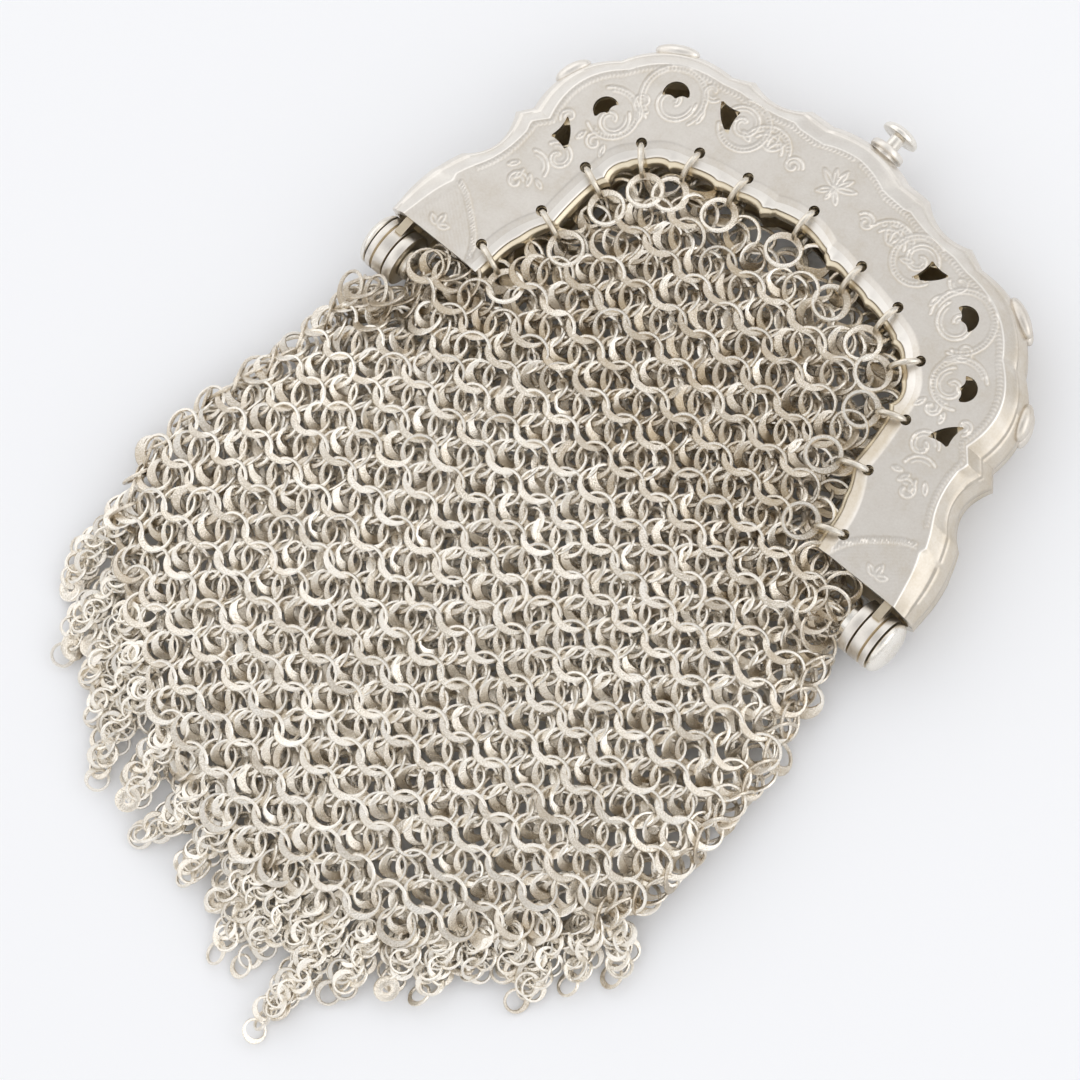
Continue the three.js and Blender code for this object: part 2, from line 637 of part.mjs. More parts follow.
function lock(row, path) {
  const after = path.findIndex((p) => p.x > row.rootX);
  const near = path[after - 1];
  const far = path[after];
  const share = (row.rootX - near.x) / (far.x - near.x);
  const out = new THREE.Vector2(far.y - near.y, near.x - far.x).normalize();
  const root = near.clone().lerp(far, share).addScaledVector(out, HEM.gap + LOCK.rootInset);
  const bend = new THREE.Vector2(row.bendX, row.bendY);
  const tip = new THREE.Vector2(row.tipX, row.tipY);
  const spots = [root, bend, tip];
  const sections = spots.map((spot, i) => {
    const down = i / (spots.length - 1);
    const along = (i === 0 ? bend.clone().sub(root) : tip.clone().sub(bend)).normalize();
    const half = THREE.MathUtils.lerp(LOCK.rootWidth, LOCK.tipWidth, down) / 2;
    const side = new THREE.Vector2(along.y, -along.x).multiplyScalar(half);
    const height = THREE.MathUtils.lerp(LOCK.rootHeight, LOCK.tipHeight, down);
    return boxSection(spot.clone().sub(side), spot.clone().add(side), 0, height);
  });
  return solidOf(skinOf(sections));
}

function fringe() {
  const path = hemPath();
  let whole = hem(path);
  for (const row of LOCK_ROWS) whole = whole.add(lock(row, path));
  return whole;
}

const group = new THREE.Group();
group.name = 'mail_purse';
group.add(meshOf(frontHalf(), 'frame_front', silver));
group.add(meshOf(backHalf(), 'frame_back', silver));
const pin = hingePin();
group.add(meshOf(mirrorX(pin), 'hinge_pin_left', brightSilver));
group.add(meshOf(pin, 'hinge_pin_right', brightSilver));
group.add(meshOf(pushButton(), 'push_button', brightSilver));
places.forEach((place, i) => {
  const number = String(i + 1).padStart(2, '0');
  const ring = jumpRing(place);
  group.add(meshOf(ring, `jump_ring_front_${number}`, brightSilver));
  group.add(meshOf(turnOver(ring), `jump_ring_back_${number}`, brightSilver));
});
group.add(meshOf(mailPouch(), 'mail_pouch', mailSilver));
group.add(meshOf(fringe(), 'fringe', mailSilver));

// the origin goes to the middle of the footprint, on the surface it lies on
const box = new THREE.Box3().setFromObject(group);
const middle = box.getCenter(new THREE.Vector3());
for (const mesh of group.children) mesh.geometry.translate(-middle.x, -middle.y, -box.min.z);

export default group;
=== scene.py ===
import math
import bpy
import numpy as np
from mathutils import Matrix, Vector


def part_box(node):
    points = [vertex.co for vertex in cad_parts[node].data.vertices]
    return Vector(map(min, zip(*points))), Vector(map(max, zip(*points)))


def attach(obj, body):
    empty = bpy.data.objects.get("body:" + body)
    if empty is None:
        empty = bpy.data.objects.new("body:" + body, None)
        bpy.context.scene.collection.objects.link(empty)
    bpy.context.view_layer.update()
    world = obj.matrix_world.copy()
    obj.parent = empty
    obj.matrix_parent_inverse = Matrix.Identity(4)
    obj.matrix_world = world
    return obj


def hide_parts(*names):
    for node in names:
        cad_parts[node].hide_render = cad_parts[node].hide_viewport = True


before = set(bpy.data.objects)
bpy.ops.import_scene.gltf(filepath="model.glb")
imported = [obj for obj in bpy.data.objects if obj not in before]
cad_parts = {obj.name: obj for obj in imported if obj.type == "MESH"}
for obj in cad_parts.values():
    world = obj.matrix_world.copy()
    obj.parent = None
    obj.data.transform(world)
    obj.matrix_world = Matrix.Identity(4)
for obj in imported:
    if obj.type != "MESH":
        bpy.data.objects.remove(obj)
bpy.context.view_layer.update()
rng = np.random.default_rng(47)
mm = 0.001

# shapes are worked out in mm from the ends of the frame's legs, then moved to the shared frame
frontLow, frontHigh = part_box("frame_front")
barrelLowest = 7.7
shift = np.array([(frontLow[0] + frontHigh[0]) / 2 / mm, frontLow[1] / mm + barrelLowest, 0.0])

arch = dict(
    frontZ=10.64, seamZ=5.94, seamGap=0.3, sheet=0.8, rimBand=1.2,
    lipReach=1.6, lipDrop=1.6, holeSetback=0.95, holeRadius=0.74, pull=0.35,
    # inner edge x, y and bow to the next row, rim x, y and bow, bevel width and bow, jump ring
    rows=np.array([
        (30.3, 0.0, 0.0, 44.6, 0.0, 0.0, 2.6, 0.0, 0),
        (30.0, 3.2, 0.7, 44.6, 3.4, 0.4, 3.2, 0.0, 1),
        (26.9, 11.6, 0.2, 42.5, 11.5, -2.0, 4.0, -1.3, 1),
        (26.3, 19.6, 0.0, 40.7, 20.3, 0.0, 3.7, 0.0, 1),
        (26.1, 21.0, 0.75, 39.2, 22.2, 2.0, 3.8, 0.0, 0),
        (22.9, 26.2, 0.5, 34.4, 34.4, 2.3, 2.6, 0.4, 1),
        (18.5, 29.0, 0.0, 21.2, 41.7, 0.0, 2.2, 0.0, 0),
        (16.7, 29.5, 0.3, 18.4, 43.0, -1.3, 2.9, -1.0, 1),
        (9.6, 30.8, 0.3, 10.0, 44.6, 0.0, 3.3, 0.0, 1),
        (4.8, 31.6, 0.3, 6.4, 44.7, 0.3, 3.4, 0.0, 0),
        (0.0, 32.7, 0.0, 0.0, 45.9, 0.0, 3.0, 0.0, 1),
    ]),
)
seamTop = arch["seamZ"] + arch["seamGap"] / 2
flip = np.array([-1, 1])


# adds points, faces and a value of tarnish and painted shade for each point to a bag
def put(bag, points, faces, tarnish):
    points = np.asarray(points, float).reshape(-1, 3)
    values = np.broadcast_to(np.asarray(tarnish, float).reshape(-1), (len(points),))
    bag["points"].append(points)
    bag["tarnish"].append(values)
    bag["faces"].append(np.asarray(faces, int) + bag["count"])
    bag["count"] += len(points)


# one piece from a list of makers, each with its own values
def makeObject(name, slotName, replaced, makers, body="purse", sharp=35):
    bag = {"points": [], "faces": [], "tarnish": [], "count": 0}
    for maker, *values in makers:
        maker(bag, *values)
    points = (np.concatenate(bag["points"]) + shift) * mm
    faces = [face for group in bag["faces"] for face in group.tolist()]
    mesh = bpy.data.meshes.new(name)
    mesh.from_pydata(points.tolist(), [], faces)
    tint = mesh.attributes.new("tarnish", "FLOAT", "POINT")
    tint.data.foreach_set("value", np.concatenate(bag["tarnish"]).astype(np.float32))
    mesh.polygons.foreach_set("use_smooth", np.ones(len(faces), bool))
    mesh.set_sharp_from_angle(angle=math.radians(sharp))
    mesh.materials.append(silvers[slotName])
    piece = bpy.data.objects.new(name, mesh)
    bpy.context.scene.collection.objects.link(piece)
    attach(piece, body)
    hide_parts(replaced)
    mesh.calc_loop_triangles()
    print(name, "triangles", len(mesh.loop_triangles))


def gridFaces(rows, columns, closeRows=False, closeColumns=False):
    lastRow = rows if closeRows else rows - 1
    lastColumn = columns if closeColumns else columns - 1
    i, j = np.meshgrid(np.arange(lastRow), np.arange(lastColumn), indexing="ij")
    k = (i + 1) % rows
    m = (j + 1) % columns
    return np.stack([i * columns + j, i * columns + m, k * columns + m, k * columns + j], -1).reshape(-1, 4)


def unit(v):
    return v / np.linalg.norm(v, axis=-1, keepdims=True)


def roundAngles(count):
    return np.arange(count) / count * 2 * np.pi


# a turned shape from (radius, height) rows, about an axis through a point
def turned(bag, profile, origin, along, across, tarnish, sides=56):
    profile, along, across = (np.asarray(part, float) for part in (profile, along, across))
    third = np.cross(along, across)
    angle = roundAngles(sides)
    ring = np.cos(angle)[:, None] * across + np.sin(angle)[:, None] * third
    points = profile[:, None, 0:1] * ring[None] + profile[:, None, 1:2] * along + np.asarray(origin, float)
    shades = np.repeat(np.broadcast_to(tarnish, len(profile)), sides)
    put(bag, points, gridFaces(len(profile), sides, closeColumns=True), shades)


def bowed(one, two, bow, t):
    along = two - one
    side = np.array([along[1], -along[0]]) / np.hypot(*along)
    return one + along * t[:, None] + side * (4 * bow * t * (1 - t))[:, None]


def turnBy(degrees):
    c, s = math.cos(math.radians(degrees)), math.sin(math.radians(degrees))
    return np.array([[c, s], [-s, c]])


def lengthsAlong(line):
    return np.concatenate([[0], np.cumsum(np.hypot(*np.diff(line, axis=0).T))])


def placesAt(line, lengths, spots):
    return np.column_stack([np.interp(spots, lengths, line[:, i]) for i in (0, 1)])


def archLines(step):
    rows = arch["rows"]
    inner, rim, bevel = [], [], []
    for one, two in zip(rows[:-1], rows[1:]):
        length = max(np.hypot(*(two[0:2] - one[0:2])), np.hypot(*(two[3:5] - one[3:5])))
        count = max(2, round(length / step))
        t = np.arange(count) / count
        inner.append(bowed(one[0:2], two[0:2], one[2], t))
        rim.append(bowed(one[3:5], two[3:5], one[5], t))
        bevel.append(one[6] + (two[6] - one[6]) * t + 4 * one[7] * t * (1 - t))
    inner = np.concatenate(inner + [rows[-1:, 0:2]])
    rim = np.concatenate(rim + [rows[-1:, 3:5]])
    bevel = np.concatenate(bevel + [rows[-1:, 6]])
    inner = np.concatenate([inner, inner[-2::-1] * flip])
    rim = np.concatenate([rim, rim[-2::-1] * flip])
    return rim, inner, np.concatenate([bevel, bevel[-2::-1]])


def holePlaces():
    rows = arch["rows"][arch["rows"][:, 8] > 0]
    outward = unit(rows[:, 3:5] - rows[:, 0:2])
    hole = rows[:, 0:2] + outward * arch["holeSetback"]
    hang = unit(np.array([0, -arch["pull"]]) - outward)
    return np.concatenate([hole, hole[-2::-1] * flip]), np.concatenate([hang, hang[-2::-1] * flip])


holes, hangs = holePlaces()


def arcLine(x, y, startRadius, endRadius, start, end, count=36):
    t = np.linspace(0, 1, count)
    angle = np.radians(start + (end - start) * t)
    radius = startRadius + (endRadius - startRadius) * t
    return np.column_stack([x + radius * np.cos(angle), y + radius * np.sin(angle)])


def insidePolygon(points, polygon):
    inside = np.zeros(len(points), bool)
    for one, two in zip(polygon, np.roll(polygon, -1, axis=0)):
        spans = (one[1] > points[:, 1]) != (two[1] > points[:, 1])
        slope = (two[0] - one[0]) / (two[1] - one[1] + 1e-12)
        inside ^= spans & (points[:, 0] < one[0] + slope * (points[:, 1] - one[1]))
    return inside


# distance from points to a line of segments, and the nearest place on it
def nearestOn(points, line):
    one = line[:-1]
    along = line[1:] - one
    reach = (along ** 2).sum(1) + 1e-12
    rel = points[:, None, :] - one[None]
    t = np.clip((rel * along).sum(2) / reach, 0, 1)
    near = one + t[..., None] * along
    gap = np.linalg.norm(points[:, None, :] - near, axis=2)
    best = gap.argmin(1)
    pick = np.arange(len(points))
    return gap[pick, best], near[pick, best]


pierced = dict(
    # kind, x, y, turn, size
    rows=[("fin", 32.3, 21.4, -42, 2.65), ("crescent", 30.4, 27.4, 22, 1.75),
          ("crescent", 24.5, 34.6, 60, 1.8), ("fin", 17.4, 36.4, 126, 2.75)],
    crescentSweep=102, waist=-0.35, bite=0.2,
    # angle, reach and bow of the three tips
    fin=[(0, 0.75, -0.12), (98, 1.0, 0.2), (270, 0.88, -0.1)],
)


def piercedOutlines():
    outlines = []
    t = np.linspace(0, 1, 12, endpoint=False)
    for kind, x, y, turn, size in pierced["rows"]:
        if kind == "crescent":
            line = arcLine(0, 0, 1, 1, -pierced["crescentSweep"], pierced["crescentSweep"], 40)
            waist = np.array([pierced["waist"], 0.0])
            bitten = [bowed(*ends, -pierced["bite"], t) for ends in ((line[-1], waist), (waist, line[0]))]
            line = np.concatenate([line[:-1]] + bitten)
        else:
            tips = [reach * np.array([math.cos(math.radians(a)), math.sin(math.radians(a))])
                    for a, reach, bow in pierced["fin"]]
            bows = [bow for a, reach, bow in pierced["fin"]]
            line = np.concatenate([bowed(tips[i], tips[(i + 1) % 3], bows[i], t) for i in range(3)])
        line = line * size @ turnBy(turn) + np.array([x, y])
        outlines += [line, line * flip]
    return outlines


def ringHoleOutlines():
    return [arcLine(x, y, arch["holeRadius"], arch["holeRadius"], 0, 360, 29)[:-1] for x, y in holes]


engraving = dict(
    depth=0.105, width=0.12, burr=0.018, reach=4,
    # spirals: x, y, start radius, end radius, start angle, end angle
    spirals=[
        (24.4, 34.2, 4.6, 4.2, -75, 205), (24.2, 33.6, 3.1, 0.6, 150, 560), (29.4, 27.4, 3.7, 3.4, 40, 300),
        (28.9, 26.7, 2.5, 0.5, 120, 520), (14.9, 37.0, 2.9, 0.5, -40, 470), (14.7, 36.8, 3.6, 3.4, 60, 330),
        (31.0, 18.5, 2.2, 0.5, 20, 440), (32.9, 15.2, 2.4, 2.2, 60, 175), (10.4, 36.2, 3.2, 3.2, 15, 165),
        (10.4, 36.0, 2.2, 2.2, 20, 160), (21.0, 37.9, 1.5, 0.4, 200, 520), (33.6, 23.6, 1.2, 0.3, -60, 240),
        (27.2, 31.2, 1.6, 0.4, -150, 220), (6.2, 36.6, 1.4, 0.35, 160, -200),
        (33.2, 12.6, 1.5, 0.4, 130, -200), (28.7, 23.0, 1.3, 0.4, 60, -230),
    ],
    # a second line inside each spiral, shorter at both ends, with beads between the two on the wide ones
    twin=0.56, twinStart=12, twinEnd=20, twinLeast=0.2, beaded=3.0,
    # leaves about one place: x, y, then turn, length and width of each
    leaves=[
        (0, 37.6, [(90, 2.5, 0.6), (25, 2.7, 0.6), (155, 2.7, 0.6), (-45, 2.0, 0.5), (-135, 2.0, 0.5),
                   (58, 2.3, 0.45), (122, 2.3, 0.45), (-90, 1.5, 0.4)]),
        (10.4, 36.0, [(90, 2.6, 0.9), (125, 2.4, 0.8), (55, 2.4, 0.8)]),
        (37.4, 1.4, [(90, 1.6, 0.6), (150, 1.5, 0.6), (30, 1.5, 0.6)]),
        (32.4, 14.6, [(-118, 1.5, 0.45)]), (33.4, 14.6, [(-85, 1.6, 0.45)]),
        (34.4, 15.0, [(-50, 1.5, 0.45)]), (31.4, 14.4, [(-160, 1.3, 0.4)]),
        (12.6, 35.6, [(20, 1.6, 0.6)]), (27.0, 30.4, [(240, 1.8, 0.55)]),
        (20.2, 35.4, [(-100, 1.9, 0.55)]), (27.4, 23.6, [(-110, 1.5, 0.45)]),
        (30.4, 23.6, [(-75, 1.4, 0.45)]),
    ],
    leafStart=0.25, leafRound=0.8,
    rope=[(38.9, 7.9), (37.2, 7.2), (35.4, 5.9), (33.9, 4.7), (32.6, 3.5), (31.6, 2.1), (30.9, 0.6)],
    ropeSide=(0.2, -0.25),
    # the hatched panel of the leg's end, its lines by step, slope, first and last level
    panel=[(38.9, 7.2), (41.0, 0.5), (31.8, 0.5), (32.6, 2.6), (33.9, 4.0), (35.4, 5.2), (37.2, 6.5)],
    hatch=(0.55, 0.8, -12.0, 8.0), hatchX=(30, 44),
    # ticks: step, length, lean and whether they stand on both sides
    beadTicks=(0.48, 0.3, 90, False), ropeTicks=(0.46, 0.6, 50, False),
    borderTicks=(0.55, 0.34, 140, True), borderIn=0.65, borderFrom=10.5,
    # share of the depth
    strength=dict(spiral=1.0, twin=0.6, bead=0.75, leaf=0.9, rope=1.0, side=0.5, border=0.6,
                  hatch=0.16),
)


def leafLines(x, y, turn, length, width):
    t = np.linspace(0, 1, 12)
    half = width * np.sin(np.pi * t) ** engraving["leafRound"] / 2
    along = engraving["leafStart"] + t * length
    at = np.array([x, y])
    return [np.column_stack([along, side]) @ turnBy(turn) + at for side in (half, -half)]


# short slanted cuts on both sides of a path, like a twisted rope or a herringbone
def tickLines(path, step, length, lean, doubled):
    lengths = lengthsAlong(path)
    places = placesAt(path, lengths, np.arange(step / 2, lengths[-1], step))
    turn = np.arctan2(np.gradient(places[:, 1]), np.gradient(places[:, 0]))
    lines = []
    for place, a in zip(places, turn):
        for side in ((1, -1) if doubled else (0,)):
            b = a + math.radians(lean) * (side or 1)
            reach = np.array([math.cos(b), math.sin(b)]) * length
            start = place - (0 if doubled else 0.5) * reach
            lines.append(np.array([start, start + reach]))
    return lines


def hatchLines():
    step, slope, first, last = engraving["hatch"]
    panel = np.array(engraving["panel"])
    x = np.linspace(*engraving["hatchX"], 60)
    lines = []
    for level in np.arange(first, last, step):
        line = np.column_stack([x, level + slope * (x - x[0])])
        kept = line[insidePolygon(line, panel)]
        if len(kept) > 2:
            lines.append(kept[[0, -1]])
    return lines


def borderLine():
    rim, inner, bevel = archLines(0.5)
    border = rim + unit(inner - rim) * (bevel + engraving["borderIn"])[:, None]
    border = border[:len(rim) // 2 + 1]
    return border[border[:, 1] > engraving["borderFrom"]]


# every cut with its strength
def engravedLines():
    spec = engraving
    cuts = {kind: [] for kind in spec["strength"]}
    twin = spec["twin"]
    for x, y, startRadius, endRadius, start, end in spec["spirals"]:
        cuts["spiral"].append(arcLine(x, y, startRadius, endRadius, start, end, 60))
        start, end = start + spec["twinStart"], end - spec["twinEnd"]
        least = max(endRadius - twin, spec["twinLeast"])
        cuts["twin"].append(arcLine(x, y, startRadius - twin, least, start, end, 60))
        if endRadius > spec["beaded"]:
            beads = arcLine(x, y, startRadius - twin / 2, endRadius - twin / 2, start, end)
            cuts["bead"] += tickLines(beads, *spec["beadTicks"])
    for x, y, leaves in spec["leaves"]:
        for leaf in leaves:
            cuts["leaf"] += leafLines(x, y, *leaf)
    rope = np.array(spec["rope"], float)
    cuts["rope"] = tickLines(rope, *spec["ropeTicks"])
    cuts["side"] = [rope + np.array(spec["ropeSide"]), rope - np.array(spec["ropeSide"])]
    cuts["border"] = tickLines(borderLine(), *spec["borderTicks"])
    cuts["hatch"] = hatchLines()
    return [(line, spec["strength"][kind]) for kind in cuts for line in cuts[kind]]


def nearBox(points, line, margin):
    return ((points >= line.min(0) - margin) & (points <= line.max(0) + margin)).all(1)


# how deep the engraving goes at each plan point, the same on both sides
def engravedDepth(points):
    folded = np.column_stack([np.abs(points[:, 0]), points[:, 1]])
    depth = np.zeros(len(points))
    burr = np.zeros(len(points))
    width = engraving["width"]
    for line, strength in engravedLines():
        near = np.where(nearBox(folded, line, engraving["reach"] * width))[0]
        if len(near) == 0:
            continue
        gap = nearestOn(folded[near], line)[0]
        depth[near] = np.maximum(depth[near], strength * np.exp(-(gap / width) ** 2))
        burr[near] = np.maximum(burr[near], strength * np.exp(-((gap - 2 * width) / width) ** 2))
    return depth, burr


# removes the quads inside each outline and draws the cut edge onto it
def cutHoles(points, faces, outlines, plane):
    margin = 0.8
    drop = np.zeros(len(points), bool)
    for outline in outlines:
        near = np.where(nearBox(points[:, :2], outline, margin) & plane)[0]
        drop[near[insidePolygon(points[near, :2], outline)]] = True
    kept = faces[~drop[faces].all(1)]
    used = np.zeros(len(points), bool)
    used[kept.reshape(-1)] = True
    for outline in outlines:
        edge = np.where(nearBox(points[:, :2], outline, margin) & used & drop)[0]
        if len(edge):
            points[edge, :2] = nearestOn(points[edge, :2], np.concatenate([outline, outline[:1]]))[1]
    return points, kept


def holeWalls(bag, outlines, inner, tarnish):
    top = arch["frontZ"]
    for line in outlines:
        upper = np.column_stack([line, top - lipFall(nearestOn(line, inner)[0])])
        lower = np.column_stack([line, np.full(len(line), top - arch["sheet"])])
        put(bag, np.stack([upper, lower], 1), gridFaces(len(line), 2, closeRows=True), tarnish)


channel = dict(
    # length of a step and number of rows across the face
    frontGrid=(0.17, 64), backGrid=(0.5, 20),
    # shares of the rim band's height, and how far its foot is set in
    band=(0.0, 0.15, 0.5, 0.9), footIn=0.12,
    # share of the bevel's width and height, from the rim band up to the arris
    bevel=[(0.0, 0.0), (0.02, 0.06), (0.10, 0.20), (0.24, 0.40), (0.33, 0.50), (0.37, 0.51), (0.42, 0.505),
           (0.47, 0.53), (0.60, 0.65), (0.80, 0.83), (0.92, 0.945), (0.975, 0.992)],
    # the lip: share of its reach and drop
    lip=[(0.02, 0.22), (0.25, 0.305), (0.5, 0.395), (0.64, 0.45), (0.69, 0.5), (0.71, 0.6), (0.75, 0.66),
         (0.9, 0.75), (1.05, 0.85), (1.1, 0.95), (1.12, 1.25), (1.12, 1.7)],
    lipStart=0.85, lipSlope=0.4, lipTrim=0.12, goldFrom=0.56,
    # pointed teeth of the lip's edge: x, y, how far out and how wide
    teeth=[(5.9, 31.5, 0.95, 0.6), (4.4, 31.8, -0.35, 0.7), (28.5, 7.0, 0.8, 0.7), (19.8, 28.4, 0.7, 0.7),
           (26.2, 20.4, 0.7, 0.7), (12.8, 30.3, 0.55, 0.7), (24.7, 24.0, 0.5, 0.7)],
    # raised lobes: rim x, y, which way the raised side lies, height and how fast it fades
    steps=[(43.4, 8.4, -1, 0.5, 5.0), (41.0, 19.4, -1, 0.22, 3.0), (10.0, 44.6, 1, 0.26, 3.0),
           (6.4, 44.7, 1, 0.3, 4.5), (34.4, 34.4, 1, 0.22, 3.0)],
    stepIn=1.6, stepRun=1.3, swellFrom=0.12, swellOut=0.5, swellUp=0.8,
    # the inner surface: below the band's top, in from the bevel, shorter than the face, at the lip
    insideLow=0.35, insideStart=0.35, insideTrim=0.55, insideLip=0.5,
    # tarnish and painted shade; the painted shade makes the wall, the lip and the face's slope to the lip
    # darker to the right: from which x and y and over how far
    tones=dict(wall=0.11, wallRightShade=0.3, lipRightShade=0.45, gold=1.0, face=0.25, cut=0.2,
               burr=0.16, faceRightShade=0.5, under=0.95, seam=0.3, lipEdge=0.7, legEnd=0.1,
               ringHole=0.6, pierced=0.75),
    wallShadeSpan=(5, 30), lipShadeSpan=(20, 5), lipShadeBelow=(-25, 6), slopeGain=5,
)


# from 0 to 1 over a run of values
def fade(values, start, run):
    return np.clip((values - start) / run, 0, 1)


# raised lobes of the outer wall, each with one steep end
def wallSteps(rim):
    along = lengthsAlong(rim)
    lift = np.zeros(len(rim))
    for x, y, way, height, fall in channel["steps"]:
        for side in (1, -1):
            spot = along[np.hypot(rim[:, 0] - side * x, rim[:, 1] - y).argmin()]
            past = (along - spot) * way * side
            edge = fade(past, 0, channel["stepRun"])
            lift += height * edge * edge * (3 - 2 * edge) * np.exp(-np.clip(past, 0, None) / fall)
    return lift


# how far the face has dropped towards the lip, at a distance from the inner edge
def lipFall(gap):
    return channel["lipSlope"] * np.clip(channel["lipStart"] - gap, 0, None)


# a grid of points at each reach from the rim and each height
def sweep(rim, along, reach, height):
    plan = rim[:, None] + along[:, None] * reach[..., None]
    return np.concatenate([plan, np.broadcast_to(height, reach.shape)[..., None]], -1)


def channelSurface(step, faceCount):
    rim, inner, bevel = archLines(step)
    steps = wallSteps(rim)
    bevel = bevel + channel["stepIn"] * steps
    width = np.linalg.norm(inner - rim, axis=1)
    along = (inner - rim) / width[:, None]
    foot = seamTop + arch["rimBand"]
    reach, height = [], []
    for share in channel["band"]:
        reach.append(0 * bevel + (channel["footIn"] if share == 0 else 0))
        height.append(seamTop + share * arch["rimBand"] + 0 * bevel)
    for across, up in channel["bevel"]:
        swell = steps * math.sin(math.pi * min(across + channel["swellFrom"], 1))
        reach.append(across * bevel - channel["swellOut"] * swell)
        height.append(foot + up * (arch["frontZ"] - foot) + channel["swellUp"] * swell)
    part = np.arange(len(reach) + faceCount + len(channel["lip"])) - len(reach)
    for share in np.linspace(0, 1, faceCount):
        reach.append(bevel + share * (width - bevel))
        height.append(arch["frontZ"] - lipFall(width - reach[-1]))
    wave = 0 * bevel
    for x, y, out, spread in channel["teeth"]:
        wave = wave + out * np.exp(-np.hypot(np.abs(inner[:, 0]) - x, inner[:, 1] - y) / spread)
    for across, down in channel["lip"]:
        reach.append(width + across * (arch["lipReach"] - channel["lipTrim"] + wave))
        height.append(arch["frontZ"] - down * arch["lipDrop"] + 0 * bevel)
    grid = sweep(rim, along, np.stack(reach, 1), np.stack(height, 1))
    return grid, (part >= 0) & (part < faceCount), part >= faceCount, rim, along, width, bevel


def channelInside(rim, along, width, bevel, faceCount):
    top, sheet = arch["frontZ"], arch["sheet"]
    reach = [0 * bevel + sheet, 0 * bevel + sheet]
    height = [seamTop, seamTop + arch["rimBand"] - channel["insideLow"]]
    for share in np.linspace(0, 1, faceCount):
        reach.append(bevel + channel["insideStart"] + share * (width - channel["insideTrim"] - bevel))
        height.append(top - sheet)
    reach.append(width + arch["lipReach"] - channel["insideLip"])
    height.append(top - arch["lipDrop"] - channel["insideLip"])
    part = np.arange(len(reach)) - 2
    return sweep(rim, along, np.stack(reach, 1), np.array(height)), (part >= 0) & (part < faceCount)


# keeps the faces that clear the push button's tube
def offTube(points, faces):
    gap = np.hypot(points[:, 0] - button["x"], points[:, 2] - arch["seamZ"])
    inTube = (gap < button["bushing"] - button["tubeWall"]) & (points[:, 1] > button["bushStart"])
    return faces[~inTube[faces].all(1)]


def strip(bag, one, two, tarnish):
    points = np.stack([one, two], 1).reshape(-1, 3)
    put(bag, points, offTube(points, gridFaces(len(one), 2)), tarnish)


bosses = dict(
    # x, y, turn, long, wide, high
    rows=[(38.4, 29.3, 112, 2.6, 1.1, 1.3), (29.2, 39.8, 151, 3.0, 1.1, 1.3)],
    lift=1.3, lowest=-0.42, rings=12, sides=28,
    # side and tone
    tones=[(1, 0.3), (-1, 0.12)],
)


def addBosses(bag):
    up = np.linspace(bosses["lowest"] * np.pi, 0.5 * np.pi, bosses["rings"])[:, None]
    turn = roundAngles(bosses["sides"])
    faces = gridFaces(bosses["rings"], bosses["sides"], closeColumns=True)
    for x, y, degrees, long, wide, high in bosses["rows"]:
        flat = np.stack([long * np.cos(up) * np.cos(turn), wide * np.cos(up) * np.sin(turn)], -1)
        plan = flat @ turnBy(degrees) + np.array([x, y])
        z = np.maximum(seamTop + bosses["lift"] + high * np.sin(up) + 0 * turn, seamTop)
        for side, tone in bosses["tones"]:
            put(bag, np.concatenate([plan * np.array([side, 1]), z[..., None]], -1), faces, tone)


hinge = dict(
    y=-3.9, tone=0.2, endTone=0.75, brightFrom=3.72,
    # knuckles as radius and place along the pin, the longer one with a turned groove between two bands
    front=[(1.7, 40.2), (3.64, 40.2), (3.75, 40.25), (3.8, 40.36), (3.8, 41.756), (3.7, 41.816),
           (3.52, 41.936), (3.7, 42.056), (3.8, 42.116), (3.8, 42.84), (3.75, 42.95), (3.64, 43.0),
           (1.7, 43.0), (1.7, 40.2)],
    back=[(1.7, 38.6), (3.64, 38.6), (3.75, 38.65), (3.8, 38.76), (3.8, 39.84), (3.75, 39.95), (3.64, 40.0),
          (1.7, 40.0), (1.7, 38.6)],
    frontBracket=(40.3, 41.5), backBracket=(38.7, 39.9), reach=1.6, low=1.5, depth=2.4,
    sink=0.9, bracketTone=0.7,
)


def onHinge(bag, profile, side, tone):
    turned(bag, profile, (0, hinge["y"], arch["seamZ"]), (side, 0, 0), (0, 1, 0), tone)


def addKnuckles(bag, rows):
    shades = [hinge["tone"] if radius > hinge["brightFrom"] else hinge["endTone"] for radius, along in rows]
    for side in (1, -1):
        onHinge(bag, rows, side, shades)


def addBrackets(bag, span):
    top = arch["frontZ"]
    rows = (hinge["y"] + hinge["low"], hinge["reach"])
    levels = (top - hinge["depth"], top - hinge["sink"])
    faces = [(0, 1, 3, 2), (4, 6, 7, 5), (0, 4, 5, 1), (2, 3, 7, 6), (0, 2, 6, 4), (1, 5, 7, 3)]
    for side in (1, -1):
        ends = sorted((side * span[0], side * span[1]))
        put(bag, [(x, y, z) for x in ends for y in rows for z in levels], faces, hinge["bracketTone"])


def turnOver(bag):
    for points in bag["points"]:
        points[:, 2] = 2 * arch["seamZ"] - points[:, 2]


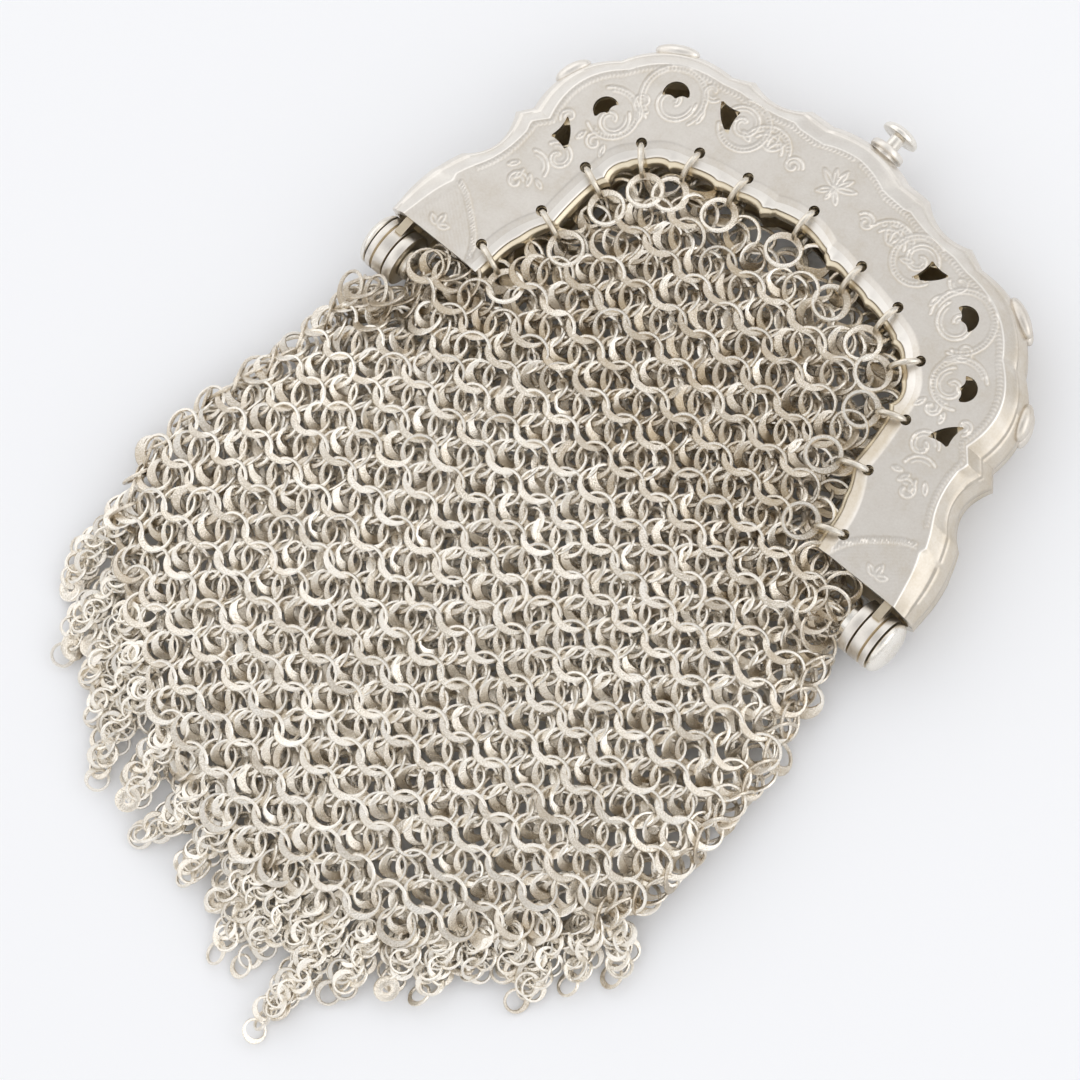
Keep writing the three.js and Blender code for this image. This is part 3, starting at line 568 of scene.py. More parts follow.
def channelHalf(bag, step, faceCount, isFront):
    tones = channel["tones"]
    grid, onFace, onLip, rim, along, width, bevel = channelSurface(step, faceCount)
    rows, columns = grid.shape[:2]
    points = grid.reshape(-1, 3).copy()
    face, lip = np.tile(onFace, rows), np.tile(onLip, rows)
    down = (arch["frontZ"] - points[:, 2]) / arch["lipDrop"]
    # painted shade: the wall and the lip's upper facet darker towards the right
    wall = tones["wall"] + tones["wallRightShade"] * fade(points[:, 0], *channel["wallShadeSpan"])
    rightShade = fade(points[:, 0], *channel["lipShadeSpan"]) * fade(-points[:, 1], *channel["lipShadeBelow"])
    rightShade = rightShade * tones["lipRightShade"]
    tarnish = np.where(lip, np.where(down < channel["goldFrom"], rightShade, tones["gold"]), wall)
    ringHoles = ringHoleOutlines()
    cuts = piercedOutlines() if isFront else []
    points, faces = cutHoles(points, gridFaces(rows, columns), ringHoles + cuts, face)
    if isFront:
        deep, burr = engravedDepth(points[face][:, :2])
        points[face, 2] += engraving["burr"] * burr - engraving["depth"] * deep
        # painted shade: the face darker on the right where it slopes down to the lip
        slope = tones["faceRightShade"] * rightShade * np.clip(channel["slopeGain"] * down, 0, 1)
        # painted highlight in the engraved cuts and painted shade on the flanks beside them
        tarnish[face] = tones["face"] - tones["cut"] * deep + tones["burr"] * burr + slope[face]
    arris = np.isin(np.arange(columns), (onFace.argmax() - 1, onFace.argmax()))
    tarnish[np.tile(arris, rows)] = 0.0  # painted highlight along the edge, where its narrow facet catches the light
    put(bag, points, offTube(points, faces), tarnish)
    under, underFace = channelInside(rim, along, width, bevel, max(8, faceCount // 3))
    coarse = under[::2] if isFront else under
    flat, hollow = coarse.reshape(-1, 3).copy(), gridFaces(*coarse.shape[:2])
    flat, hollow = cutHoles(flat, hollow, ringHoles + cuts, np.tile(underFace, len(coarse)))
    put(bag, flat, offTube(flat, hollow[:, ::-1]), tones["under"])
    strip(bag, grid[:, 0], under[:, 0], tones["seam"])
    strip(bag, grid[:, -1], under[:, -1], tones["lipEdge"])
    for outer, inside in ((grid[0], under[0]), (grid[-1], under[-1])):
        gap = np.linalg.norm(outer[:, None] - inside[None], axis=2)
        strip(bag, outer, inside[np.maximum.accumulate(gap.argmin(1))], tones["legEnd"])
    inner = rim + along * width[:, None]
    holeWalls(bag, ringHoles, inner, tones["ringHole"])
    holeWalls(bag, cuts, inner, tones["pierced"])
    addBosses(bag)


# rows of a dome that closes a turned shape
def dome(radius, start, end, more=0.0):
    turn = np.linspace(0, 0.5 * np.pi, 10)
    return [(max(radius * math.cos(a) + more, 0.01), start + (end - start) * math.sin(a)) for a in turn]


button = dict(
    x=0.8, bushing=1.7, bushStart=40.6, tubeWall=0.05, tone=0.08, bushTone=0.15,
    # radius and place along the stem: the bushing with its collar, then the inner head, the stem and the cap
    collar=[(1.15, 40.6), (1.7, 40.6), (1.7, 46.25), (2.38, 46.25), (2.5, 46.39), (2.5, 46.9), (2.34, 47.14),
            (2.1, 47.2), (1.15, 47.2), (1.15, 40.6)],
    stem=[(0.01, 39.7), (1.5, 39.7), (1.5, 40.3), (0.95, 40.3), (0.95, 48.65), (1.07, 48.88), (1.45, 49.0),
          (2.4, 49.0), (2.59, 49.06), (2.65, 49.2)] + dome(2.65, 49.4, 50.5),
)
pin = dict(
    rows=[(0.01, 37.4), (2.1, 37.4), (2.3, 37.6), (2.3, 38.4), (1.5, 38.4), (1.5, 43.2), (3.58, 43.2),
          (3.7, 43.32)] + dome(3.7, 43.5, 44.9, 0.01),
    tone=0.08,
)


def onButton(bag, profile, tone):
    turned(bag, profile, (button["x"], 0, arch["seamZ"]), (0, 1, 0), (1, 0, 0), tone)


# six points round the wire: across it, at its edges and up, round on the thin half and flat on the wide one
section = dict(
    across=np.array([0, 1, -1, 0, -1, 1]), edges=np.array([0.5, 0, 0, -0.5, 0, 0]),
    up=np.array([0, 0.5, 0.5, 0, -0.5, -0.5]), round=0.27, flatter=0.13, thinner=0.3,
    tintMiddle=0.3, floor=0.03,
)


# rings with a thin half and a flattened half; seats give a middle and three axes each
def addRings(bag, seats, spec, tarnish):
    count = spec["segments"]
    angle = roundAngles(count)
    lobe = np.clip(np.cos(angle + 0.5 * np.pi), 0, None)[:, None] ** spec["lobe"]
    wide = spec["thin"] + (spec["wide"] - spec["thin"]) * lobe
    side = section["across"] * (section["round"] + section["flatter"] * lobe) + section["edges"]
    radius = spec["outer"] - wide / 2 + side * wide
    lift = section["up"] * spec["thick"] * (1 - section["thinner"] * lobe)
    at, ex, ey, en = (seats[key][:, None, None, :] for key in ("at", "ex", "ey", "en"))
    c, s = (turn(angle)[None, :, None, None] for turn in (np.cos, np.sin))
    points = at + (c * ex + s * ey) * radius[None, :, :, None] + en * lift[None, :, :, None]
    below = section["floor"] - points[..., 2].min(axis=(1, 2))
    points[..., 2] += np.clip(below, 0, None)[:, None, None]  # lifted onto the floor
    one = gridFaces(count, 6, True, True)
    faces = (one[None] + (np.arange(len(points)) * count * 6)[:, None, None]).reshape(-1, 4)
    tone = tarnish(points) if callable(tarnish) else np.full(points.shape[:3], tarnish)
    tint = tone + spec["flatTint"] * (lobe - section["tintMiddle"])
    put(bag, points, faces, np.clip(tint, 0, 1).reshape(-1))


# a tone for each ring with painted shade: brighter on the side that stands up, darker on the side sunk into
# the mail
def heightShadedTone(at, up, tone, fall):
    at, up = at[:, None, None], up[:, None, None]
    return lambda ring: tone[:, None, None] - fall * ((ring - at) * up).sum(-1)


# turns two axes towards each other
def turnPair(one, two, angle):
    c, s = np.cos(angle)[:, None], np.sin(angle)[:, None]
    return c * one + s * two, c * two - s * one


# tips a ring about its own x axis, rocks it and spins it in its plane
def seat(at, ex, ey, en, tilt, spin, rock):
    ey, en = turnPair(ey, en, tilt)
    ex, en = turnPair(ex, en, rock)
    ex, ey = turnPair(ex, ey, spin)
    return {"at": at, "ex": ex, "ey": ey, "en": en}


jump = dict(radius=2.12, wire=0.42, drop=1.3, axis=1.98, around=40, sides=10, tone=0.35,
            toneSwing=0.25)


def addJumpRing(bag, hole, hang, isFront):
    angle, turn = roundAngles(jump["around"]), roundAngles(jump["sides"])
    middle = np.array([*(hole + hang * jump["axis"]), arch["frontZ"] - jump["drop"]])
    ex, ez = np.array([*hang, 0.0]), np.array([0, 0, 1.0])
    spoke = np.cos(angle)[:, None] * ex + np.sin(angle)[:, None] * ez
    ring = middle + spoke[:, None] * (jump["radius"] + jump["wire"] * np.cos(turn))[None, :, None]
    ring = ring + np.cross(ez, ex) * (jump["wire"] * np.sin(turn))[None, :, None]
    if not isFront:
        ring[..., 2] = 2 * arch["seamZ"] - ring[..., 2]
    shade = jump["tone"] + jump["toneSwing"] * np.cos(angle)[:, None] + 0 * turn
    put(bag, ring, gridFaces(jump["around"], jump["sides"], True, True), shade)


pouch = dict(
    wall=1.8, mouth=3.05, cornerX=28.0, cornerY=-0.9, end=(1.4, -76.6),
    middle=(-2.0, -26.0),
    # y, left, right, open
    rows=np.array([
        (-2.6, -36.8, 36.8, 1), (-8.2, -36.9, 36.9, 0), (-10.4, -42.4, 38.8, 0), (-17.5, -43.6, 40.2, 0),
        (-24.0, -45.0, 42.0, 0), (-31.0, -47.0, 42.6, 0), (-38.0, -48.9, 42.7, 0), (-45.0, -49.2, 42.2, 0),
        (-52.0, -47.4, 39.4, 0), (-60.0, -39.0, 33.0, 0), (-67.0, -30.6, 26.6, 0), (-72.0, -21.4, 19.2, 0),
        (-75.4, -10.0, 11.4, 0),
    ]),
    # y, top, bottom of the two sheets
    heights=np.array([(-80, 6.6, 0), (-67, 8.2, 0), (-50, 9.8, 0), (-18, 10.1, 0), (-10, 10.2, 0.4),
                      (0, 10.24, 1.64), (40, 10.24, 1.64)]),
    sideTop=5.2, sideBottom=2.2, topFlat=0.6, bottomFlat=0.84, hemFirst=8,
)


# x, y and whether it is open, round the mouth and down both sides
def pouchOutline():
    mouth = holes + hangs * pouch["mouth"]
    rows = [(pouch["cornerX"], pouch["cornerY"], 1)] + [(x, y, 1) for x, y in mouth]
    rows += [(-pouch["cornerX"], pouch["cornerY"], 1)]
    rows += [(left, y, isOpen) for y, left, right, isOpen in pouch["rows"]]
    rows += [(*pouch["end"], 0)]
    rows += [(right, y, isOpen) for y, left, right, isOpen in pouch["rows"][::-1]]
    return np.array(rows)


outline = pouchOutline()
closed = np.concatenate([outline, outline[:1]])


# height of the middle of a sheet, rounded off towards the sides like the pouch itself
def sheetHeight(x, y, isTop):
    rel = np.column_stack([x, y]) - np.array(pouch["middle"])
    spokes = outline[:, :2] - np.array(pouch["middle"])
    turn = np.unwrap(np.arctan2(spokes[:, 1], spokes[:, 0]))
    turn = np.append(turn, turn[0] + 2 * np.pi)
    angle = turn[0] + np.mod(np.arctan2(rel[:, 1], rel[:, 0]) - turn[0], 2 * np.pi)
    seg = np.clip(np.searchsorted(turn, angle, side="right") - 1, 0, len(spokes) - 1)
    after = (seg + 1) % len(spokes)
    one = spokes[seg]
    edge = spokes[after] - one
    u = rel / (np.linalg.norm(rel, axis=1) + 1e-9)[:, None]
    cross = u[:, 0] * edge[:, 1] - u[:, 1] * edge[:, 0] + 1e-12
    reach = (one[:, 0] * edge[:, 1] - one[:, 1] * edge[:, 0]) / cross
    share = np.clip((u[:, 1] * one[:, 0] - u[:, 0] * one[:, 1]) / cross, 0, 1)
    level = np.clip(np.linalg.norm(rel, axis=1) / reach, 0, 1)
    flat = pouch["topFlat"] if isTop else pouch["bottomFlat"]
    soft = np.where(level <= flat, 1, 1 - ((level - flat) / (1 - flat)) ** 2)
    openOne, openTwo = (np.where(outline[part, 2] > 0, 1, soft) for part in (seg, after))
    rounding = openOne * (1 - share) + openTwo * share
    crown = np.interp(y, pouch["heights"][:, 0], pouch["heights"][:, 1 if isTop else 2])
    side = pouch["sideTop"] if isTop else pouch["sideBottom"]
    half = pouch["wall"] / 2
    return side + (crown - side) * rounding + (-half if isTop else half)


# places on a sheet with its axes there
def sheetFrame(points, isTop):
    x, y = points.T
    step = 0.8
    z = sheetHeight(x, y, isTop)
    dx = (sheetHeight(x + step, y, isTop) - sheetHeight(x - step, y, isTop)) / (2 * step)
    dy = (sheetHeight(x, y + step, isTop) - sheetHeight(x, y - step, isTop)) / (2 * step)
    ex = unit(np.column_stack([np.ones_like(x), 0 * x, dx]))
    ey = unit(np.column_stack([0 * x, np.ones_like(x), dy]))
    en = unit(np.cross(ex, ey))
    return np.column_stack([x, y, z]), ex, unit(np.cross(en, ex)), en


lattice = dict(
    rows=46, half=11, top=31.0, pitch=5.35, pairPitch=4.9, pairStep=2.15,
    backShift=(1.3, 2.3),
    # it hangs to one side, its rows sag and slope a little
    lean=-0.095, leanTo=60, sag=2.0, sagMiddle=-2, sagHalf=42, sink=1.2, slope=0.045,
    # slight waves: height, then how far apart in x, in y, and where they start
    wave=(0.55, 11, 0.8), ripple=(0.35, 9, 17), swell=(0.4, 6.5, 19, 1.0),
)
mail = dict(
    outer=2.64, thin=0.5, wide=1.06, thick=0.42, lobe=1.2, segments=24, backSegments=18,
    # how far the rings keep from the pouch's edge, the frame's sides, its top, its legs and the head rings
    edge=1.0, mouthGap=2.2, topGap=3.0, legGap=0.6, headGap=2.7, headFromHole=6.1,
    sideX=15, legEnd=-0.5, hingeX=35.6, hingeY=-8.6, crownX=14.0, crownY=24.0,
    fillStep=0.8, fillGap=2.75, fillIn=1.7, fillDrop=0.3, tuckIn=0.5, tuckDrop=1.9,
    # how unevenly they lie
    tilt=14.5, tiltSpread=0.06, jitter=0.13, rise=0.05, loose=0.04, looseSpin=1.5,
    # painted shade: each ring darker on its side sunk into the mail
    spin=0.14, rock=0.07, flatTint=0.42, topTone=0.19, backTone=0.05, toneSpread=0.08, shadeFall=0.3,
)
heads = holes + hangs * mail["headFromHole"]


def offHinges(points):
    return (np.abs(points[:, 0]) < mail["hingeX"]) | (points[:, 1] < mail["hingeY"])


# which points keep off the frame, the hinges and the pouch's own edge
def insidePouch(points):
    keep = insidePolygon(points, outline[:, :2]) & offHinges(points)
    for one, two in zip(closed[:-1], closed[1:]):
        need = mail["edge"]
        if one[2] and two[2]:
            need = mail["mouthGap"] if abs(one[0] + two[0]) > 2 * mail["sideX"] else mail["topGap"]
            if min(one[1], two[1]) < mail["legEnd"]:
                need = mail["legGap"]
        keep &= nearestOn(points, np.array([one[:2], two[:2]]))[0] > need
    return keep


# the lattice of one sheet: each row lies over the next at the opposite slant
def latticePlaces(isTop):
    spec = lattice
    k, i = np.meshgrid(np.arange(spec["rows"]), np.arange(-spec["half"], spec["half"] + 1), indexing="ij")
    k, i = k.ravel(), i.ravel()
    odd = k % 2
    x = (i + 0.5 * odd) * spec["pitch"]
    y = spec["top"] - (k // 2) * spec["pairPitch"] - odd * spec["pairStep"]
    if not isTop:
        x, y = x + spec["backShift"][0], y + spec["backShift"][1]
    lean = spec["lean"] * np.clip(-y, 0, spec["leanTo"])
    high, apart, start = spec["wave"]
    wave = high * np.sin(y / apart + start)
    high, apart, down = spec["ripple"]
    x = x + lean + wave + high * np.sin(x / apart - y / down)
    high, apart, down, start = spec["swell"]
    swell = high * np.sin(x / apart + y / down + start)
    sag = spec["sag"] * ((x - spec["sagMiddle"]) / spec["sagHalf"]) ** 2 - spec["sink"]
    y = y + sag - spec["slope"] * x + swell
    return np.column_stack([x, y]), 1 - 2 * odd


def wovenPlaces(isTop):
    points, slant = latticePlaces(isTop)
    offHeads = np.linalg.norm(points[:, None] - heads[None], axis=2).min(1) > mail["headGap"]
    keep = insidePouch(points) & offHeads
    return points[keep], slant[keep]


# more rings along the border where the rows leave a gap: some beside the edge, some tucked under the frame
def fillPlaces(points):
    taken = [*points, *heads]
    added, drops = [], []
    for one, two in zip(closed[:-1], closed[1:]):
        isOpen = bool(one[2] and two[2])
        along = (two - one)[:2]
        size = np.hypot(*along)
        inset = np.array([along[1], -along[0]]) / size * (mail["tuckIn"] if isOpen else mail["fillIn"])
        for t in np.arange(0, size, mail["fillStep"]) / size:
            spot = one[:2] + along * t - inset
            atHinge = abs(spot[0]) > mail["hingeX"] and spot[1] > mail["hingeY"]
            atCrown = isOpen and spot[1] > mail["crownY"] and abs(spot[0]) < mail["crownX"]
            if atHinge or atCrown or np.linalg.norm(np.array(taken) - spot, axis=1).min() < mail["fillGap"]:
                continue
            taken.append(spot)
            added.append(spot)
            drops.append(mail["tuckDrop"] if isOpen and spot[1] > mail["legEnd"] else mail["fillDrop"])
    return np.array(added), np.array(drops)


# darker down both sides and beside the frame: from where, over how far and how much
edgeDarkening = dict(right=(12, 24, 0.1), left=(18, 22, 0.14), frame=(-16, 14, 0.36))


def darkerNearEdges(points):
    x, y = points.T
    total = 0 * x
    for key, values in (("right", x), ("left", -x), ("frame", y)):
        start, run, most = edgeDarkening[key]
        total = total + most * fade(values, start, run)
    return total


def addSheet(bag, isTop):
    points, slant = wovenPlaces(isTop)
    extra, drops = fillPlaces(points)
    drop = np.concatenate([np.zeros(len(points)), drops])
    slant = np.concatenate([slant, rng.choice([-1, 1], len(extra))])
    points = np.concatenate([points, extra])
    n = len(points)
    points = points + rng.normal(0, mail["jitter"], points.shape)
    at, ex, ey, en = sheetFrame(points, isTop)
    sign = 1 if isTop else -1
    at[:, 2] += rng.normal(0, mail["rise"], n) - sign * drop
    loose = rng.random(n) < mail["loose"]
    spin = rng.normal(0, mail["spin"], n)
    spin = spin + np.where(loose, rng.uniform(-mail["looseSpin"], mail["looseSpin"], n), 0)
    tilt = sign * slant * np.radians(mail["tilt"]) + rng.normal(0, mail["tiltSpread"], n)
    seats = seat(at, ex, ey, en, tilt, spin, rng.normal(0, mail["rock"], n))
    # painted light: the back sheet's base tone is paler than the front sheet's, to lighten the shade seen
    # through the gaps
    tone = rng.normal(0, mail["toneSpread"], n) + darkerNearEdges(points) + mail["topTone" if isTop else "backTone"]
    spec = mail if isTop else dict(mail, segments=mail["backSegments"])
    # painted shade on each ring, darker on its side sunk into the mail
    addRings(bag, seats, spec, heightShadedTone(at, sign * en, tone, mail["shadeFall"]))
    print("mail sheet rings", n)


# rings below the front sheet: more random tone, less painted shade on each ring
lowerRings = dict(mail, segments=18, toneSpread=0.14, shadeFall=0.2)
linkRings = dict(lowerRings, outer=2.1, wide=1.35, lobe=0.8, drop=0.8, dropSpread=0.1, jitter=0.14,
                 tone=0.12, rows=(-1.1, 1.0), turn=0.22, lean=0.72, leanSpread=0.12, tilt=0.1, spin=0.5)
innerRings = dict(lowerRings, outer=2.5, thin=0.55, wide=1.75, lobe=0.9, drop=1.8, dropSpread=0.15,
                  jitter=0.16, tone=0.14, shift=(1.34, 1.2), crownY=29.2, tilt=-0.4, spin=0.6, rock=0.2)


# uneven places below the front sheet, with its axes there
def underPlaces(points, spec):
    points = points + rng.normal(0, spec["jitter"], points.shape)
    at, ex, ey, en = sheetFrame(points, True)
    at[:, 2] -= spec["drop"] + rng.normal(0, spec["dropSpread"], len(at))
    return points, at, ex, ey, en


def underRings(bag, seats, spec, points, en):
    tone = rng.normal(spec["tone"], spec["toneSpread"], len(points)) + darkerNearEdges(points)
    # painted shade on each ring, darker on its side sunk into the mail
    addRings(bag, seats, spec, heightShadedTone(seats["at"], en, tone, spec["shadeFall"]))


# rings that stand between the rows and tie them, seen almost edge on
def addLinks(bag):
    points, slant = wovenPlaces(True)
    n = len(points)
    points = points + np.where(slant > 0, *linkRings["rows"])[:, None] * np.array([0, 1.0])
    points, at, ex, ey, en = underPlaces(points, linkRings)
    ex, ey = turnPair(ex, ey, rng.normal(0, linkRings["turn"], n))
    lean = slant * linkRings["lean"] + rng.normal(0, linkRings["leanSpread"], n)
    tilt = rng.normal(0, linkRings["tilt"], n)
    seats = seat(at, ex, ey, en, tilt, rng.normal(0, linkRings["spin"], n), lean)
    underRings(bag, seats, linkRings, points, en)
    print("link rings", n)


# the rings behind the face of the mail, seen through it
def addInner(bag):
    points, slant = latticePlaces(True)
    points = points + np.array(innerRings["shift"])
    keep = insidePolygon(points, outline[:, :2]) & offHinges(points)
    keep &= (points[:, 1] < innerRings["crownY"]) | (np.abs(points[:, 0]) > innerRings["crownX"])
    points, at, ex, ey, en = underPlaces(points[keep], innerRings)
    n = len(points)
    spin = rng.normal(0, innerRings["spin"], n)
    rock = rng.normal(0, innerRings["rock"], n)
    seats = seat(at, ex, ey, en, innerRings["tilt"] * slant[keep], spin, rock)
    underRings(bag, seats, innerRings, points, en)
    print("inner rings", n)


# the first rings of the mail, one in each jump ring
headRings = dict(mail, thin=0.66, jitter=0.15, topRise=0.25, backRise=0.1, tilt=0.1, spread=0.08, tone=0.3,
                 spins=(-1, 1))


def addHeadRings(bag, isTop):
    spec = headRings
    at, ex, ey, en = sheetFrame(heads + rng.normal(0, spec["jitter"], heads.shape), isTop)
    n = len(at)
    ex = np.column_stack([hangs[:, 1], -hangs[:, 0], np.zeros(n)])
    at[:, 2] += spec["topRise" if isTop else "backRise"]
    tilt = rng.normal(spec["tilt"], spec["spread"], n)
    spin = rng.uniform(*spec["spins"], n)
    seats = seat(at, ex, np.cross(en, ex), en, tilt, spin, rng.normal(0, spec["spread"], n))
    addRings(bag, seats, spec, spec["tone"])


# rings that turn round the two sides of the pouch, from the top down
sideRings = dict(mail, segments=20, top=-11.0, bottom=-54.0, inset=1.0, height=3.7, jitter=0.1, lean=0.4,
                 sideFlat=0.25, cornerFlat=1.2, tone=0.5, spins=(-1, 1))
# rings beside the hinges and under the legs' ends, with more on the left: x, y, z
corners = np.array([
    (29.6, -1.3, 8.3), (32.2, -1.4, 8.4), (34.8, -1.9, 8.2), (31.0, -1.6, 6.2), (33.6, -1.8, 6.0),
    (35.6, -3.4, 6.8), (35.6, -5.8, 6.6), (35.6, -8.2, 6.6), (35.4, -3.4, 3.4), (35.4, -5.8, 3.2),
    (35.4, -8.2, 3.2), (33.0, -3.0, 4.0), (30.2, -2.6, 4.2),
])
leftCorner = np.array([
    (-36.4, -9.4, 8.6), (-38.4, -10.2, 8.3), (-40.6, -10.6, 7.6), (-37.2, -10.4, 6.6), (-39.6, -11.0, 6.0),
    (-42.0, -11.6, 6.4), (-41.0, -11.4, 4.2),
])


def everyOther(n):
    return 1 - 2 * (np.arange(n) % 2)


def addSideRings(bag):
    spec = sideRings
    down = np.arange(spec["top"], spec["bottom"], -lattice["pairPitch"] / 2)
    rows = pouch["rows"]
    for column, side in ((1, -1), (2, 1)):
        edge = np.interp(-down, -rows[:, 0], rows[:, column]) - side * spec["inset"]
        sides = np.column_stack([edge, down, np.full(len(down), spec["height"])])
        at = np.concatenate([sides, corners * np.array([side, 1, 1])] + ([leftCorner] if side < 0 else []))
        n = len(at)
        at = at + rng.normal(0, spec["jitter"], at.shape)
        flat = np.where(np.arange(n) < len(sides), spec["sideFlat"], spec["cornerFlat"])
        en = unit(np.column_stack([np.full(n, side), np.zeros(n), flat]))
        ey = np.tile(np.array([0, 1.0, 0]), (n, 1))
        tilt = everyOther(n) * spec["lean"]
        spin = rng.uniform(*spec["spins"], n)
        seats = seat(at, np.cross(ey, en), ey, en, tilt, spin, rng.normal(0, spec["jitter"], n))
        addRings(bag, seats, spec, spec["tone"])


fringe = dict(
    outer=1.72, thin=0.42, wide=0.8, thick=0.4, lobe=1.2, segments=16, step=2.0,
    rootIn=0.9, rootHeight=3.8, rootFall=3.0, jitter=0.16, slantSpread=0.14, rock=0.12,
    # painted shade: each fringe ring darker lower down, towards the floor
    flatTint=0.1, tone=0.1, toneSpread=0.12, shadeFall=0.1, shadeHeight=1.6,
    # sideways reach, start, height, lean and share of the length of each strand
    sway=[(0.0, 0.4, 1.0, 0.42, 1.0), (1.3, 2.4, 1.6, 0.4, 0.95), (-1.3, 1.4, 1.4, 0.36, 0.86),
          (0.6, 1.9, 2.3, 0.6, 0.8), (-0.7, 0.9, 2.1, 0.3, 0.7)],
    swayTurn=2.6, swayStart=(0.3, 0.9), swaySize=(0.8, 1.2), points=24, pointShare=(0.8, 1.1), fewest=8,
    # rootX, bendX, bendY, tipX, tipY
    rows=[(-45.6, -46.4, -59.5, -44.4, -66.1), (-41.0, -40.8, -66.0, -39.7, -72.5),
          (-36.2, -35.6, -68.5, -34.9, -74.0), (-32.0, -31.6, -72.0, -31.0, -76.2),
          (-27.6, -27.6, -75.5, -24.6, -82.3), (-21.6, -20.9, -77.0, -19.7, -81.1),
          (-13.6, -13.5, -78.8, -15.8, -83.8), (-8.0, -7.7, -80.5, -7.5, -84.8),
          (-2.6, -2.0, -80.2, -2.6, -84.9), (1.4, 1.6, -82.0, 2.2, -88.6), (5.2, 5.6, -81.0, 6.0, -87.8),
          (9.0, 9.2, -78.6, 9.4, -80.8), (12.4, 12.8, -83.5, 13.0, -94.2),
          (16.4, 17.2, -79.2, 16.8, -83.4), (21.0, 21.5, -73.8, 22.4, -76.8),
          (25.0, 25.7, -71.2, 26.0, -75.6), (28.2, 28.9, -67.6, 29.2, -69.6),
          (31.4, 32.2, -64.4, 32.4, -66.4), (34.2, 35.5, -62.6, 36.2, -68.4),
          (37.2, 38.6, -58.1, 40.2, -63.4), (39.0, 41.8, -54.1, 44.0, -58.9)],
)
discs = dict(fringe, thin=1.2, wide=1.45, outer=1.75, thick=0.3, count=1, share=0.4, jitter=0.8, low=1.2,
             high=2.2, rock=0.25, tone=0.3)
hem = dict(mail, outer=2.3, step=2.6, start=1.0, out=0.3, height=1.75, jitter=0.2, lean=0.42,
           slantSpread=0.1, rock=0.2, tone=0.22)


def hemLine():
    rows = pouch["rows"][pouch["hemFirst"]:]
    return np.concatenate([rows[:, [1, 0]], np.array([pouch["end"]]), rows[::-1, [2, 0]]])


# places at even steps on a line and the way ahead there
def alongLine(line, step, start):
    lengths = lengthsAlong(line)
    spots = np.arange(start, lengths[-1] + 1e-6, step)
    near = 0.3
    ahead = placesAt(line, lengths, spots + near) - placesAt(line, lengths, spots - near)
    return placesAt(line, lengths, spots), unit(ahead)


freeSpin = (-3, 3)


# seats of rings that lie flat along a line, spun freely
def lyingSeats(middle, ahead, tilt, rock):
    n = len(middle)
    ex = np.column_stack([ahead, np.zeros(n)])
    en = np.tile(np.array([0, 0, 1.0]), (n, 1))
    spin = rng.uniform(*freeSpin, n)
    return seat(middle, ex, np.cross(en, ex), en, tilt, spin, rng.normal(0, rock, n))


# a chain along a plan line: each ring stands across the one before it
def addChain(bag, line, start, height, lean):
    spec = fringe
    at, ahead = alongLine(line, spec["step"], start)
    n = len(at)
    at = at + rng.normal(0, spec["jitter"], at.shape)
    slant = everyOther(n) * lean + rng.normal(0, spec["slantSpread"], n)
    fall = np.exp(-((start + np.arange(n) * spec["step"]) / spec["rootFall"]) ** 2)
    middle = np.column_stack([at, height + (spec["rootHeight"] - height) * fall])
    seats = lyingSeats(middle, ahead, slant, spec["rock"])
    tone = rng.normal(spec["tone"], spec["toneSpread"], n)[:, None, None]
    # painted shade: each ring darker lower down, towards the floor
    addRings(bag, seats, spec, lambda ring: tone - spec["shadeFall"] * (ring[..., 2] - spec["shadeHeight"]))
    return n


# small flat washers among the rings near a lock's end
def addDiscs(bag, line):
    n = discs["count"]
    at = line[rng.integers(len(line) // 2, len(line), n)] + rng.normal(0, discs["jitter"], (n, 2))
    middle = np.column_stack([at, rng.uniform(discs["low"], discs["high"], n)])
    tilt = rng.normal(0, discs["rock"], n)
    seats = lyingSeats(middle, np.tile(np.array([1.0, 0]), (n, 1)), tilt, discs["rock"])
    addRings(bag, seats, discs, discs["tone"])


def addFringe(bag):
    path = hemLine()
    total = 0
    t = np.linspace(0, 1, fringe["points"])[:, None]
    for rootX, bendX, bendY, tipX, tipY in fringe["rows"]:
        after = np.where(path[:, 0] > rootX)[0][0]
        near, far = path[after - 1], path[after]
        root = near + (far - near) * (rootX - near[0]) / (far[0] - near[0])
        root = root + unit(np.array(pouch["middle"]) - root) * fringe["rootIn"]
        tip = np.array([tipX, tipY])
        pull = 2 * np.array([bendX, bendY]) - (root + tip) / 2
        line = root * (1 - t) ** 2 + pull * 2 * t * (1 - t) + tip * t ** 2
        for sway, start, height, lean, share in fringe["sway"]:
            turn = t[:, 0] * fringe["swayTurn"] + rng.uniform(*fringe["swayStart"])
            across = sway * np.sin(turn) * rng.uniform(*fringe["swaySize"])
            part = 1 if sway == 0 else rng.uniform(*fringe["pointShare"])
            count = int(fringe["points"] * share * part)
            strand = (line + np.column_stack([across, 0 * across]))[:max(count, fringe["fewest"])]
            total += addChain(bag, strand, start, height, lean)
        if rng.random() < discs["share"]:
            addDiscs(bag, line)
    print("fringe rings", total)


def addHem(bag):
    at, ahead = alongLine(hemLine(), hem["step"], hem["start"])
    n = len(at)
    out = np.column_stack([ahead[:, 1], -ahead[:, 0]])
    at = at + out * hem["out"] + rng.normal(0, hem["jitter"], at.shape)
    slant = everyOther(n) * hem["lean"] + rng.normal(0, hem["slantSpread"], n)
    middle = np.column_stack([at, np.full(n, hem["height"])])
    addRings(bag, lyingSeats(middle, ahead, slant, hem["rock"]), hem, hem["tone"])


